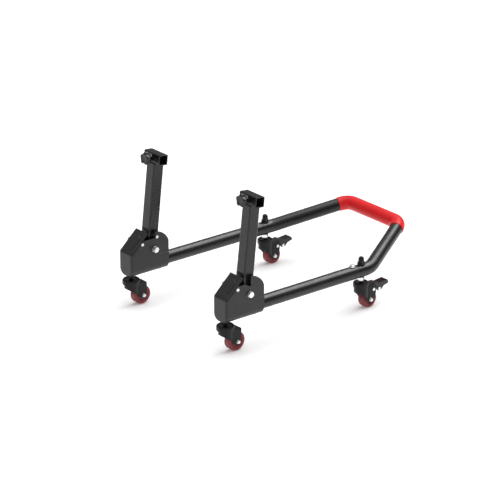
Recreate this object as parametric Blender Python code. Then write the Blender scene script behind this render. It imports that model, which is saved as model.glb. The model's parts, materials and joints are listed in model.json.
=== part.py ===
"""Rear paddock stand on four swivel casters, as separate solids.

Metres, +Z up. X runs across the stand, -Y is the end with the lifting posts and +Y the end
with the handle. The floor is Z = 0. Run with: blender --background --python part.py
"""

from math import atan2, cos, pi, radians, sin, sqrt, tan

import bmesh
import bpy
from mathutils import Matrix, Vector

# Clearance between pieces that touch, and between a shank and its hole.
GAP = 0.0003
HOLE_CLEARANCE = 0.0004

# Frame tubes.
ARM_X = 0.212
TUBE_Z = 0.1148
TUBE_RADIUS = 0.019
TUBE_WALL = 0.002
TUBE_SIDES = 16
ARM_FRONT_Y = -0.3700
SEAM_Y = 0.1126
FIRST_BEND = Vector((0.212, 0.164, 0.1148))
HANDLE_BEND = Vector((0.1129, 0.3627, 0.1704))
FIRST_BEND_RADIUS = 0.080
HANDLE_BEND_RADIUS = 0.042
SLEEVE_SPAN = (0.072, 0.140)
SLEEVE_CLEARANCE = 0.0004
JOINT_BOLT_Y = 0.0955
SLEEVE_WALL = 0.002
GRIP_WALL = 0.0015
GRIP_PAST_BEND = 0.030

# Post pivot and the pressed housing around it, in the housing's own side view.
PIVOT_Y = -0.2949
PIVOT_Z = 0.1634
PLATE = 0.003
HOUSING_HALF = 0.029
TROUGH_RADIUS = 0.022
FOLD_RADIUS = 0.006
NOSE_Y = -0.0822
NOSE_TOP_Z = 0.0006
SLOPE_END = (-0.0240, 0.0530)
LOBE_RADIUS = 0.0515
LOBE_FRONT_Y = -0.0010
HOUSING_REAR_Y = 0.0490
TROUGH_Z = -0.0709
OUTER_NOTCH = ((-0.0165, 0.0326, 0.004), (0.0030, 0.0205, 0.003))
INNER_NOTCH = ((0.0010, 0.0326, 0.003),)
TIE_BOLT_AT = (-0.0446, 0.0246)
LOCK_BOLT_AT = (0.0060, 0.0364)
TUBE_BOLT_Y = 0.0357
EMBOSS_SIZE = (0.032, 0.054)
EMBOSS_HEIGHT = 0.0024
SWAGE_HEIGHT = 0.0018
SWAGE_Z = -0.0178
SWAGE_LIP = 0.0018
SWAGE_FRONT_Y = -0.003

# Lifting post, receiver and clamp, measured along the post from its pivot.
POST_LEAN = radians(6.45)
POST_SIDE = 0.035
POST_WALL = 0.0025
POST_FOOT = -0.022
POST_TOP = 0.2464
RECEIVER_SIDE = 0.030
RECEIVER_WALL = 0.0025
RECEIVER_LENGTH = 0.070
CLAMP_NUT_FLATS = 0.0085
CLAMP_NUT_HEIGHT = 0.0065
KNOB_OFF_FACE = 0.0128
KNOB_HEIGHT = 0.0150
KNOB_RADIUS = 0.0190
KNOB_LOBES = 5
PAD_RADIUS = 0.0075
PAD_THICKNESS = 0.003
PAD_OFF_CENTRE = 0.0078

# Fasteners, by shank radius and half the width across flats.
PIVOT_SHANK = 0.005
PIVOT_FLATS = 0.0080
PIVOT_FLANGE = 0.0094
PIVOT_HEAD = 0.0068
BUSH_RADIUS = 0.0075
SMALL_SHANK = 0.003
SMALL_FLATS = 0.0042
SMALL_HEAD = 0.0038
TUBE_SHANK = 0.004
TUBE_FLATS = 0.0065
TUBE_HEAD = 0.0055
STEM_RADIUS = 0.005
STEM_FLATS = 0.0085
STEM_NUT_HEIGHT = 0.008

# Casters, about the swivel axis. The fork trails towards +Y, and the front wheels are larger.
FRONT_STEM_Y = -0.3578
REAR_STEM_Y = 0.1295
FRONT_TRAIL = 0.0315
REAR_TRAIL = 0.0240
FRONT_WHEEL_RADIUS = 0.0275
REAR_WHEEL_RADIUS = 0.025
WHEEL_HALF = 0.0122
WHEEL_SIDES = 24
HUB_HALF = 0.0129
HUB_RADIUS = 0.0075
RIM_DEPTH = 0.0095
FORK_HALF = 0.016
FORK_PLATE = 0.0025
FORK_TOP_Z = 0.0665
FORK_REAR_Y = 0.043
FORK_FRONT_RADIUS = 0.020
FORK_PAST_AXLE = 0.012
FRONT_HEAD_RADIUS = 0.0255
REAR_HEAD_RADIUS = 0.0225
HEAD_SIDES = 16
HEAD_BOTTOM_Z = 0.0668
HEAD_TOP_Z = 0.0815
FRONT_SEAT_NUT = 0.008
REAR_SEAT_NUT = 0.010
DOME_RADIUS = 0.008
DOME_BASE_RADIUS = 0.0115
DOME_TOP_Z = 0.1572
PEDAL_PIN_AT = (0.0326, 0.0546)
PEDAL_WINDOW = (0.024, 0.060)
PEDAL_HALF = 0.0132
PEDAL_PLATE = 0.0022
AXLE_SHANK = 0.004
AXLE_FLATS = 0.0056


# ---------------------------------------------------------------- materials

def material(name, colour, roughness, metallic):
    """One Principled material, made once and then reused."""
    found = bpy.data.materials.get(name)
    if found:
        return found
    made = bpy.data.materials.new(name)
    made.use_nodes = True
    shader = made.node_tree.nodes["Principled BSDF"]
    shader.inputs["Base Color"].default_value = (*colour, 1.0)
    shader.inputs["Roughness"].default_value = roughness
    shader.inputs["Metallic"].default_value = metallic
    return made


def tube_coat():
    return material("dark_grey_gloss_coat", (0.055, 0.055, 0.058), 0.32, 0.0)


def housing_coat():
    return material("dark_grey_satin_coat", (0.060, 0.060, 0.062), 0.50, 0.0)


def red_grip():
    return material("red_grip_rubber", (0.72, 0.022, 0.032), 0.42, 0.0)


def zinc():
    return material("bright_zinc_steel", (0.78, 0.78, 0.76), 0.30, 1.0)


def caster_black():
    return material("black_caster_steel", (0.035, 0.035, 0.036), 0.45, 0.0)


def knob_black():
    return material("black_knob_plastic", (0.015, 0.015, 0.016), 0.45, 0.0)


def red_tread():
    return material("dull_red_wheel", (0.30, 0.040, 0.045), 0.50, 0.0)


# ---------------------------------------------------------------- mesh helpers

def add_object(name, bm, coat, location=(0, 0, 0), lean=0.0, smooth=True):
    """Turn a bmesh into a named object, leaning about X by an angle."""
    bmesh.ops.remove_doubles(bm, verts=bm.verts, dist=0.000005)
    face_outwards(bm)
    mesh = bpy.data.meshes.new(name)
    bm.to_mesh(mesh)
    bm.free()
    mesh.materials.append(coat)
    obj = bpy.data.objects.new(name, mesh)
    bpy.context.scene.collection.objects.link(obj)
    obj.location = location
    obj.rotation_euler = (lean, 0.0, 0.0)
    if smooth:
        smooth_round_faces(obj)
    return obj


def face_outwards(bm):
    """Consistent normals, turned over when they enclose a negative volume."""
    bmesh.ops.recalc_face_normals(bm, faces=bm.faces)
    if bm.calc_volume(signed=True) < 0:
        bmesh.ops.reverse_faces(bm, faces=bm.faces)


def smooth_round_faces(obj):
    obj.data.shade_smooth()
    obj.data.set_sharp_from_angle(angle=radians(35))


def cut(obj, cutters, operation="DIFFERENCE"):
    """Apply exact Booleans and remove the cutters."""
    for tool in cutters:
        modifier = obj.modifiers.new("cut", "BOOLEAN")
        modifier.operation = operation
        modifier.solver = "EXACT"
        modifier.object = tool
    bpy.context.view_layer.update()
    graph = bpy.context.evaluated_depsgraph_get()
    mesh = bpy.data.meshes.new_from_object(obj.evaluated_get(graph))
    obj.modifiers.clear()
    plain = obj.data
    coat = plain.materials[0]
    obj.data = mesh
    mesh.materials.clear()
    mesh.materials.append(coat)
    bpy.data.meshes.remove(plain)
    for tool in cutters:
        shape = tool.data
        bpy.data.objects.remove(tool)
        bpy.data.meshes.remove(shape)
    smooth_round_faces(obj)


def arc(centre, radius, start, end, steps):
    """Points along an arc in a 2-D outline, both ends included."""
    points = []
    for i in range(steps + 1):
        angle = start + (end - start) * i / steps
        points.append((centre[0] + radius * cos(angle), centre[1] + radius * sin(angle)))
    return points


def fillet(corners, steps=2):
    """Round an outline given as (a, b, radius) corners."""
    points = []
    for i, (a, b, radius) in enumerate(corners):
        if radius == 0:
            points.append((a, b))
            continue
        here = Vector((a, b))
        back = (Vector(corners[i - 1][:2]) - here).normalized()
        ahead = (Vector(corners[(i + 1) % len(corners)][:2]) - here).normalized()
        half = back.angle(ahead) / 2
        centre = here + (back + ahead).normalized() * radius / sin(half)
        first = here + back * radius / tan(half) - centre
        last = here + ahead * radius / tan(half) - centre
        start = atan2(first.y, first.x)
        turn = atan2(last.y, last.x) - start
        turn = (turn + pi) % (2 * pi) - pi
        points += arc(centre, radius, start, start + turn, steps)
    return points


def polygon(radius, sides, turn=0.0):
    """A regular polygon whose flats lie at the radius."""
    corner = radius / cos(pi / sides)
    step = 2 * pi / sides
    return [(corner * cos(turn + step * i), corner * sin(turn + step * i)) for i in range(sides)]


def prism(outline, low, high, axis="Z"):
    """Extrude a closed outline between two places along an axis."""
    bm = bmesh.new()
    loops = [[bm.verts.new(on_axis(a, b, level, axis)) for a, b in outline] for level in (low, high)]
    bm.faces.new(loops[0])
    bm.faces.new(loops[1])
    bridge(bm, loops[0], loops[1])
    return bm


def on_axis(a, b, level, axis):
    """Outline (a, b) is (Y, Z) for X, (X, Z) for Y and (X, Y) for Z."""
    if axis == "X":
        return (level, a, b)
    if axis == "Y":
        return (a, level, b)
    return (a, b, level)


def bridge(bm, first, second):
    """Quads between two closed loops of the same length."""
    count = len(first)
    for i in range(count):
        j = (i + 1) % count
        bm.faces.new((first[i], first[j], second[j], second[i]))


def hollow_prism(outer, inner, low, high, axis="Z"):
    """Extrude a ring between two outlines with the same number of points."""
    bm = bmesh.new()
    rings = []
    for level in (low, high):
        rings.append([bm.verts.new(on_axis(a, b, level, axis)) for a, b in outer])
        rings.append([bm.verts.new(on_axis(a, b, level, axis)) for a, b in inner])
    bridge(bm, rings[0], rings[2])
    bridge(bm, rings[1], rings[3])
    bridge(bm, rings[0], rings[1])
    bridge(bm, rings[2], rings[3])
    return bm


def turned(profile, sides, axis="Z", turn=0.0, closed=False):
    """Turn a (radius, height) profile about an axis. A closed profile makes a ring."""
    bm = bmesh.new()
    loops = []
    for radius, height in profile:
        if radius == 0:
            loops.append([bm.verts.new(on_axis(0, 0, height, axis))])
        else:
            ring = polygon(radius, sides, turn)
            loops.append([bm.verts.new(on_axis(a, b, height, axis)) for a, b in ring])
    pairs = list(zip(loops, loops[1:]))
    if closed:
        pairs.append((loops[-1], loops[0]))
    for first, second in pairs:
        join_rings(bm, first, second)
    return bm


def join_rings(bm, first, second):
    if len(first) == len(second):
        bridge(bm, first, second)
        return
    point, ring = (first[0], second) if len(first) == 1 else (second[0], first)
    for i in range(len(ring)):
        bm.faces.new((point, ring[i], ring[(i + 1) % len(ring)]))


def cylinder(radius, low, high, sides, axis="Z"):
    return turned([(0, low), (radius, low), (radius, high), (0, high)], sides, axis)


def shift(bm, offset):
    bmesh.ops.translate(bm, verts=bm.verts, vec=offset)
    return bm


def cutter(bm, location=(0, 0, 0), lean=0.0):
    """A solid that only cuts. It is removed once it has cut."""
    obj = add_object("cutter", bm, tube_coat(), location, lean, smooth=False)
    obj.hide_render = True
    obj.display_type = "WIRE"
    return obj


def hole(radius, low, high, axis, location, lean=0.0):
    return cutter(cylinder(radius + HOLE_CLEARANCE, low, high, 12, axis), location, lean)


def hex_bolt(sections, axis, sides=12):
    """A bolt as stacked sections: (half flats or radius, low, high, kind) from one end up."""
    profile_rings = []
    bm = bmesh.new()
    for size, low, high, kind in sections:
        count = 6 if kind == "hex" else sides
        for level in (low, high):
            ring = polygon(size, count)
            profile_rings.append([bm.verts.new(on_axis(a, b, level, axis)) for a, b in ring])
    bm.faces.new(profile_rings[0])
    bm.faces.new(profile_rings[-1])
    for i in range(0, len(profile_rings) - 1):
        first, second = profile_rings[i], profile_rings[i + 1]
        if len(first) == len(second):
            bridge(bm, first, second)
        else:
            step_face(bm, first, second)
    return bm


def step_face(bm, first, second):
    """Close the flat step between a hexagon and a round ring of 12, 24... points."""
    hexagon, ring = (first, second) if len(first) == 6 else (second, first)
    count = len(ring)
    half = count // 12
    for i in range(6):
        middle = i * half * 2
        for k in range(middle - half, middle + half):
            bm.faces.new((hexagon[i], ring[k % count], ring[(k + 1) % count]))
        bm.faces.new((hexagon[i], hexagon[(i + 1) % 6], ring[(middle + half) % count]))


# ---------------------------------------------------------------- tubes

def bent_path(corners, radii, steps):
    """Stations along straight runs joined by bends: a list of (point, direction)."""
    stations = [(corners[0], (corners[1] - corners[0]).normalized())]
    for i in range(1, len(corners) - 1):
        here = corners[i]
        before = (here - corners[i - 1]).normalized()
        after = (corners[i + 1] - here).normalized()
        turn = before.angle(after)
        reach = radii[i - 1] * tan(turn / 2)
        inward = (after - before).normalized()
        centre = here + inward * radii[i - 1] / cos(turn / 2)
        spin_axis = before.cross(after).normalized()
        start = here - before * reach - centre
        for k in range(steps[i - 1] + 1):
            spin = Matrix.Rotation(turn * k / steps[i - 1], 3, spin_axis)
            stations.append((centre + spin @ start, spin @ before))
    stations.append((corners[-1], (corners[-1] - corners[-2]).normalized()))
    return stations


def swept_tube(stations, outer, inner):
    """A hollow round tube through the stations, open at both ends."""
    bm = bmesh.new()
    up = Vector((0, 0, 1))
    direction = stations[0][1]
    rings = []
    for point, heading in stations:
        up = direction.rotation_difference(heading) @ up
        direction = heading
        side = heading.cross(up).normalized()
        up = side.cross(heading).normalized()
        pair = []
        for radius in (outer, inner):
            ring = []
            for i in range(TUBE_SIDES):
                angle = 2 * pi * i / TUBE_SIDES
                ring.append(bm.verts.new(point + radius * (side * cos(angle) + up * sin(angle))))
            pair.append(ring)
        rings.append(pair)
    for here, ahead in zip(rings, rings[1:]):
        bridge(bm, here[0], ahead[0])
        bridge(bm, here[1], ahead[1])
    bridge(bm, rings[0][0], rings[0][1])
    bridge(bm, rings[-1][0], rings[-1][1])
    return bm


def handle_corners():
    """The handle tube's corners, from the right seam round to the left seam."""
    right = [Vector((ARM_X, SEAM_Y + GAP, TUBE_Z)), FIRST_BEND.copy(), HANDLE_BEND.copy()]
    left = [Vector((-p.x, p.y, p.z)) for p in reversed(right)]
    return right + left


def grip_path():
    """The handle path between two places just past the handle bends."""
    run = (FIRST_BEND - HANDLE_BEND).normalized() * GRIP_PAST_BEND
    start = HANDLE_BEND + run
    end = Vector((-start.x, start.y, start.z))
    far_bend = Vector((-HANDLE_BEND.x, HANDLE_BEND.y, HANDLE_BEND.z))
    corners = [start, HANDLE_BEND.copy(), far_bend, end]
    return bent_path(corners, [HANDLE_BEND_RADIUS] * 2, [6, 6])


def make_arm(name, x):
    ahead = Vector((0, 1, 0))
    path = [(Vector((0, y, TUBE_Z)), ahead) for y in (ARM_FRONT_Y, SEAM_Y)]
    shape = swept_tube(path, TUBE_RADIUS, TUBE_RADIUS - TUBE_WALL)
    arm = add_object(name, shape, tube_coat(), (x, 0, 0))
    through = 2 * TUBE_RADIUS
    tools = [
        hole(STEM_RADIUS, TUBE_Z - through, TUBE_Z + through, "Z", (x, FRONT_STEM_Y, 0)),
        hole(TUBE_SHANK, TUBE_Z - through, TUBE_Z, "Z", (x, PIVOT_Y + TUBE_BOLT_Y, 0)),
        hole(TUBE_SHANK, TUBE_Z, TUBE_Z + through, "Z", (x, JOINT_BOLT_Y, 0)),
    ]
    cut(arm, tools)


def make_handle_tube():
    steps = [4, 6, 6, 4]
    radii = [FIRST_BEND_RADIUS, HANDLE_BEND_RADIUS, HANDLE_BEND_RADIUS, FIRST_BEND_RADIUS]
    stations = bent_path(handle_corners(), radii, steps)
    shape = swept_tube(stations, TUBE_RADIUS, TUBE_RADIUS - TUBE_WALL)
    tube = add_object("handle_tube", shape, tube_coat())
    reach = 2 * TUBE_RADIUS
    tools = []
    for x in (-ARM_X, ARM_X):
        tools.append(hole(STEM_RADIUS, TUBE_Z - reach, TUBE_Z + reach, "Z", (x, REAR_STEM_Y, 0)))
    cut(tube, tools)


def make_joint_sleeve(name, x):
    outer = TUBE_RADIUS - TUBE_WALL - SLEEVE_CLEARANCE
    ahead = Vector((0, 1, 0))
    path = [(Vector((0, y, TUBE_Z)), ahead) for y in SLEEVE_SPAN]
    sleeve = add_object(name, swept_tube(path, outer, outer - SLEEVE_WALL), zinc(), (x, 0, 0))
    reach = 2 * TUBE_RADIUS
    tools = [
        hole(STEM_RADIUS, TUBE_Z - reach, TUBE_Z + reach, "Z", (x, REAR_STEM_Y, 0)),
        hole(TUBE_SHANK, TUBE_Z, TUBE_Z + reach, "Z", (x, JOINT_BOLT_Y, 0)),
    ]
    cut(sleeve, tools)


def make_grip():
    inner = TUBE_RADIUS + GAP
    add_object("grip_sleeve", swept_tube(grip_path(), inner + GRIP_WALL, inner), red_grip())


# ---------------------------------------------------------------- housings

def housing_shell(inset, rear, top):
    """The housing's closed outer shape, or its hollow when inset by the plate thickness."""
    run = Vector((SLOPE_END[0] - NOSE_Y, SLOPE_END[1] - NOSE_TOP_Z)).normalized()
    normal = Vector((run.y, -run.x))
    base = Vector((NOSE_Y, NOSE_TOP_Z)) + normal * inset
    front = NOSE_Y + inset
    corner_z = base.y + (front - base.x) * run.y / run.x
    bottom = TROUGH_Z + inset
    if top is None:
        ending = Vector(SLOPE_END)
        angle = atan2(sqrt(LOBE_RADIUS**2 - LOBE_FRONT_Y**2), LOBE_FRONT_Y)
        last = atan2(sqrt(LOBE_RADIUS**2 - rear**2), rear)
        roof = [tuple(ending), tuple(ending + normal * (PLATE + 0.0015))]
        roof += arc((0, 0), LOBE_RADIUS, angle, last, 9)
    else:
        reach = (top - base.y) / run.y
        roof = [(base.x + run.x * reach, top), (rear, top)]
    outline = [(front, bottom), (front, corner_z)] + roof + [(rear, bottom)]
    half = HOUSING_HALF - inset
    bm = prism(outline, -half, half, "X")
    face_outwards(bm)
    round_long_edges(bm, bottom, TROUGH_RADIUS - inset)
    round_nose(bm, front, FOLD_RADIUS - inset)
    return bm


def round_long_edges(bm, bottom, radius):
    """Round the two bottom edges along Y into the trough that holds the tube."""
    edges = []
    for edge in bm.edges:
        a, b = (v.co for v in edge.verts)
        low = abs(a.z - bottom) < 1e-6 and abs(b.z - bottom) < 1e-6
        if low and abs(a.x - b.x) < 1e-6:
            edges.append(edge)
    bmesh.ops.bevel(bm, geom=edges, offset=radius, segments=5, profile=0.5, affect="EDGES")


def round_nose(bm, front, radius):
    """Fold radius round the nose plate and along both edges of the slope."""
    edges = []
    for edge in bm.edges:
        normals = [face.normal for face in edge.link_faces]
        facing = [n for n in normals if n.y < -0.5]
        if len(facing) == 1 and any(abs(n.x) > 0.05 or n.z < -0.5 for n in normals):
            edges.append(edge)
        elif len(facing) == 2 and abs(facing[0].z - facing[1].z) > 0.1:
            edges.append(edge)
    bmesh.ops.bevel(bm, geom=edges, offset=radius, segments=2, profile=0.5, affect="EDGES")


def notch_outline(floor):
    """The open corner in a side plate between the slope and the rounded lobe, above its floor."""
    run = Vector((SLOPE_END[0] - NOSE_Y, SLOPE_END[1] - NOSE_TOP_Z)).normalized()
    base = Vector((NOSE_Y, NOSE_TOP_Z)) + Vector((run.y, -run.x)) * (PLATE + 0.0003)
    low = base + run * (floor[0][1] - base.y) / run.y
    high = base + run * (LOBE_RADIUS + 0.02 - base.y) / run.y
    corners = [(low.x, low.y, 0.0015), *floor, (floor[-1][0], high.y, 0), (high.x, high.y, 0)]
    return fillet(corners)


def emboss(side_steps=6):
    """The raised oval on the slope, as a solid that is joined to the housing."""
    run = Vector((SLOPE_END[0] - NOSE_Y, SLOPE_END[1] - NOSE_TOP_Z))
    centre = Vector((NOSE_Y, NOSE_TOP_Z)) + run * 0.5
    width, length = EMBOSS_SIZE
    straight = (length - width) / 2
    bm = bmesh.new()
    rings = []
    for grow, height in ((0.0, -PLATE / 2), (0.0, 0.0), (-EMBOSS_HEIGHT, EMBOSS_HEIGHT)):
        radius = width / 2 + grow
        outline = arc((0, straight), radius, 0, pi, side_steps)
        outline += arc((0, -straight), radius, pi, 2 * pi, side_steps)
        rings.append([bm.verts.new((a, b, height)) for a, b in outline])
    bm.faces.new(rings[0])
    bm.faces.new(rings[-1])
    bridge(bm, rings[0], rings[1])
    bridge(bm, rings[1], rings[2])
    tilt = atan2(run.y, run.x)
    bmesh.ops.rotate(bm, verts=bm.verts, cent=(0, 0, 0), matrix=Matrix.Rotation(tilt, 3, "X"))
    return shift(bm, (0, centre.x, centre.y))


def swage(side):
    """The pressed bulge on a side plate that widens towards the rear, over the tube."""
    face = side * HOUSING_HALF
    sunk = side * (HOUSING_HALF - PLATE / 2)
    proud = side * (HOUSING_HALF + SWAGE_HEIGHT)
    low = TROUGH_Z + TROUGH_RADIUS + 0.001
    rear = HOUSING_REAR_Y - 0.0002
    top = SWAGE_Z
    lip = SWAGE_LIP
    bm = bmesh.new()
    tip = (SWAGE_FRONT_Y, top)
    points = [
        (sunk, *tip), (sunk, rear, top), (sunk, rear, low), (sunk, tip[0], low),
        (proud, rear, top - lip), (proud, rear, low + lip * 2),
        (face, *tip), (face, rear, top), (face, rear, low), (face, tip[0], low),
    ]
    v = [bm.verts.new(p) for p in points]
    for loop in ((0, 1, 2, 3), (0, 6, 7, 1), (1, 7, 4, 5, 8, 2), (2, 8, 9, 3), (3, 9, 6, 0), (6, 4, 7)):
        bm.faces.new([v[i] for i in loop])
    for loop in ((6, 9, 5), (6, 5, 4), (9, 8, 5)):
        bm.faces.new([v[i] for i in loop])
    return bm


def make_housing(name, side):
    """side is +1 on the right. The inner side plate, with the lock bolt, faces the other arm."""
    place = (side * ARM_X, PIVOT_Y, PIVOT_Z)
    shell = add_object(name, housing_shell(0.0, HOUSING_REAR_Y, None), housing_coat(), place)
    cut(shell, [cutter(emboss(), place), cutter(swage(1), place), cutter(swage(-1), place)], "UNION")
    wide = HOUSING_HALF + 0.01
    inner = sorted((0.0, -side * wide))
    outer = sorted((0.0, side * wide))
    tie = (place[0], place[1] + TIE_BOLT_AT[0], place[2] + TIE_BOLT_AT[1])
    lock = (place[0], place[1] + LOCK_BOLT_AT[0], place[2] + LOCK_BOLT_AT[1])
    deep = TROUGH_Z + PLATE + 0.004
    tools = [
        cutter(housing_shell(PLATE, HOUSING_REAR_Y + 0.02, LOBE_RADIUS + 0.02), place),
        cutter(prism(notch_outline(OUTER_NOTCH), *outer, "X"), place),
        cutter(prism(notch_outline(INNER_NOTCH), *inner, "X"), place),
        hole(PIVOT_SHANK, -wide, wide, "X", place),
        hole(SMALL_SHANK, -wide, wide, "X", tie),
        hole(SMALL_SHANK, *inner, "X", lock),
        hole(STEM_RADIUS, TROUGH_Z - 0.01, deep, "Z", (place[0], FRONT_STEM_Y, place[2])),
        hole(TUBE_SHANK, TROUGH_Z - 0.01, deep, "Z", (place[0], place[1] + TUBE_BOLT_Y, place[2])),
    ]
    cut(shell, tools)


def make_housing_fasteners(label, side):
    x = side * ARM_X
    outer = HOUSING_HALF + GAP
    pivot = (x, PIVOT_Y, PIVOT_Z)
    head = side * (outer + PIVOT_HEAD)
    flange = side * (outer + 0.0018)
    sections = [
        (PIVOT_SHANK, -side * (outer + 0.0110), side * outer, "round"),
        (PIVOT_FLANGE, side * outer, flange, "round"),
        (PIVOT_FLATS, flange, head, "hex"),
    ]
    add_object("pivot_bolt_" + label, hex_bolt(sections, "X", 24), zinc(), pivot)

    low, high = sorted((-side * outer, -side * (outer + 0.0086)))
    nut = hollow_nut(PIVOT_FLATS, PIVOT_SHANK, low, high, "X")
    add_object("pivot_nut_" + label, nut, zinc(), pivot)

    reach = HOUSING_HALF - PLATE - GAP
    bore = PIVOT_SHANK + HOLE_CLEARANCE
    bush = hollow_prism(polygon(BUSH_RADIUS, 16), polygon(bore, 16), -reach, reach, "X")
    add_object("pivot_bush_" + label, bush, zinc(), pivot)

    tie = (x, PIVOT_Y + TIE_BOLT_AT[0], PIVOT_Z + TIE_BOLT_AT[1])
    sections = [
        (SMALL_FLATS, -outer - SMALL_HEAD, -outer, "hex"),
        (SMALL_SHANK, -outer, outer, "round"),
        (SMALL_FLATS, outer, outer + SMALL_HEAD, "hex"),
    ]
    add_object("tie_bolt_" + label, hex_bolt(sections, "X"), zinc(), tie)

    lock = (x, PIVOT_Y + LOCK_BOLT_AT[0], PIVOT_Z + LOCK_BOLT_AT[1])
    sections = [
        (SMALL_FLATS, -side * (outer + SMALL_HEAD), -side * outer, "hex"),
        (SMALL_SHANK, -side * outer, -side * (POST_SIDE / 2 + GAP), "round"),
    ]
    add_object("lock_bolt_" + label, hex_bolt(sections, "X"), zinc(), lock)

    bottom = PIVOT_Z + TROUGH_Z - GAP
    sections = [
        (TUBE_FLATS, bottom - TUBE_HEAD, bottom - 0.0015, "hex"),
        (TUBE_FLATS + 0.0015, bottom - 0.0015, bottom, "round"),
        (TUBE_SHANK, bottom, TUBE_Z - TUBE_RADIUS + 0.010, "round"),
    ]
    add_object("tube_bolt_" + label, hex_bolt(sections, "Z"), zinc(), (x, PIVOT_Y + TUBE_BOLT_Y, 0))


def hollow_nut(flats, bore, low, high, axis):
    """A hexagon nut with a round bore, built as a prism ring of twelve points."""
    bore_ring = polygon(bore + HOLE_CLEARANCE, 12)
    outer = []
    for i, (a, b) in enumerate(polygon(flats, 6)):
        following = polygon(flats, 6)[(i + 1) % 6]
        outer.append((a, b))
        outer.append(((a + following[0]) / 2, (b + following[1]) / 2))
    return hollow_prism(outer, bore_ring, low, high, axis)


def make_joint_bolt(label, x):
    top = TUBE_Z + TUBE_RADIUS + GAP
    sections = [
        (TUBE_SHANK, TUBE_Z + 0.006, top, "round"),
        (TUBE_FLATS + 0.002, top, top + 0.0015, "round"),
        (TUBE_FLATS, top + 0.0015, top + TUBE_HEAD + 0.0008, "hex"),
    ]
    add_object("joint_bolt_" + label, hex_bolt(sections, "Z"), zinc(), (x, JOINT_BOLT_Y, 0))


# ---------------------------------------------------------------- lifting posts

def square(side_length, radius, steps=2):
    half = side_length / 2
    signs = ((1, 1), (-1, 1), (-1, -1), (1, -1))
    return fillet([(a * half, b * half, radius) for a, b in signs], steps)


def make_post(label, side):
    """Post and receiver. Both lean about the pivot axis, which is their origin."""
    x = side * ARM_X
    pivot = (x, PIVOT_Y, PIVOT_Z)
    lean = -POST_LEAN
    outer = square(POST_SIDE, 0.004)
    inner = square(POST_SIDE - 2 * POST_WALL, 0.0015)
    shape = hollow_prism(outer, inner, POST_FOOT, POST_TOP)
    post = add_object("post_" + label, shape, tube_coat(), pivot, lean)
    bushing = cylinder(BUSH_RADIUS + HOLE_CLEARANCE, -POST_SIDE, POST_SIDE, 16, "X")
    cut(post, [cutter(bushing, pivot, lean)])

    centre = POST_TOP + GAP + RECEIVER_SIDE / 2
    outer = square(RECEIVER_SIDE, 0.0035)
    inner = square(RECEIVER_SIDE - 2 * RECEIVER_WALL, 0.0012)
    half = RECEIVER_LENGTH / 2
    tube = shift(hollow_prism(outer, inner, -half, half, "X"), (0, 0, centre))
    receiver = add_object("receiver_" + label, tube, tube_coat(), pivot, lean)
    screw = cylinder(AXLE_SHANK + HOLE_CLEARANCE, -RECEIVER_SIDE, 0, 12, "Y")
    cut(receiver, [cutter(shift(screw, (0, 0, centre)), pivot, lean)])


def clamp_origin(side):
    """World place of the screw axis at the receiver's centre, on the leaning post."""
    along = POST_TOP + GAP + RECEIVER_SIDE / 2
    return (side * ARM_X, PIVOT_Y + along * sin(POST_LEAN), PIVOT_Z + along * cos(POST_LEAN))


def make_clamp(label, side):
    """Clamp nut, star knob with its screw, and the pad on the screw's end, along local -Y."""
    place = clamp_origin(side)
    lean = -POST_LEAN
    face = -(RECEIVER_SIDE / 2 + GAP)
    nut = hollow_nut(CLAMP_NUT_FLATS, AXLE_SHANK, face - CLAMP_NUT_HEIGHT, face, "Y")
    add_object("clamp_nut_" + label, nut, tube_coat(), place, lean)

    back = -(RECEIVER_SIDE / 2 + KNOB_OFF_FACE)
    front = back - KNOB_HEIGHT
    tip = -(PAD_OFF_CENTRE + GAP)
    knob = star_knob(front, back, tip)
    add_object("knob_" + label, knob, knob_black(), place, lean)

    near = -PAD_OFF_CENTRE
    far = near + PAD_THICKNESS
    edge = 0.001
    profile = [(0, near), (PAD_RADIUS - edge, near), (PAD_RADIUS, near + edge)]
    profile += [(PAD_RADIUS, far), (0, far)]
    add_object("clamp_pad_" + label, turned(profile, 16, "Y"), knob_black(), place, lean)


def star_knob(front, back, tip):
    """A lobed knob between two places on Y, with a screw that runs on to the tip."""
    count = KNOB_LOBES * 6
    screw = AXLE_SHANK
    layers = [
        (0.78, 0.04, front + 0.0008), (1.0, 0.12, front + 0.0040),
        (1.0, 0.12, back - 0.0030), (0.85, 0.08, back),
    ]
    bm = bmesh.new()
    rings = []
    for scale, wave, level in layers:
        ring = []
        for i in range(count):
            angle = 2 * pi * i / count
            radius = KNOB_RADIUS * scale * (1 - wave * (1 - cos(KNOB_LOBES * angle)))
            ring.append(bm.verts.new(on_axis(radius * sin(angle), radius * cos(angle), level, "Y")))
        rings.append(ring)
    for first, second in zip(rings, rings[1:]):
        bridge(bm, first, second)
    nose = bm.verts.new((0, front, 0))
    join_rings(bm, [nose], rings[0])
    shank = []
    for level in (back, tip):
        ring = []
        for i in range(count):
            angle = 2 * pi * i / count
            ring.append(bm.verts.new(on_axis(screw * sin(angle), screw * cos(angle), level, "Y")))
        shank.append(ring)
    bridge(bm, rings[-1], shank[0])
    bridge(bm, shank[0], shank[1])
    bm.faces.new(shank[1])
    return bm


# ---------------------------------------------------------------- casters

def fork_shape(trail, wheel_radius, braked):
    """Side view of a fork, about the swivel axis, as (Y, Z, radius) corners."""
    axle_end = wheel_radius - 0.0090
    rear_end = min(trail + FORK_PAST_AXLE, FORK_REAR_Y - 0.003)
    return fillet([
        (-FORK_FRONT_RADIUS - 0.002, FORK_TOP_Z, 0.0),
        (-FORK_FRONT_RADIUS - 0.002, 0.0560, 0.002),
        (trail - 0.0205, 0.0345, 0.006),
        (trail - 0.0130, axle_end + 0.0045, 0.004),
        (trail - 0.0070, axle_end, 0.005),
        (rear_end, axle_end, 0.008),
        (FORK_REAR_Y, 0.0440, 0.004 if braked else 0.010),
        (FORK_REAR_Y, FORK_TOP_Z, 0.002),
    ])


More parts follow.
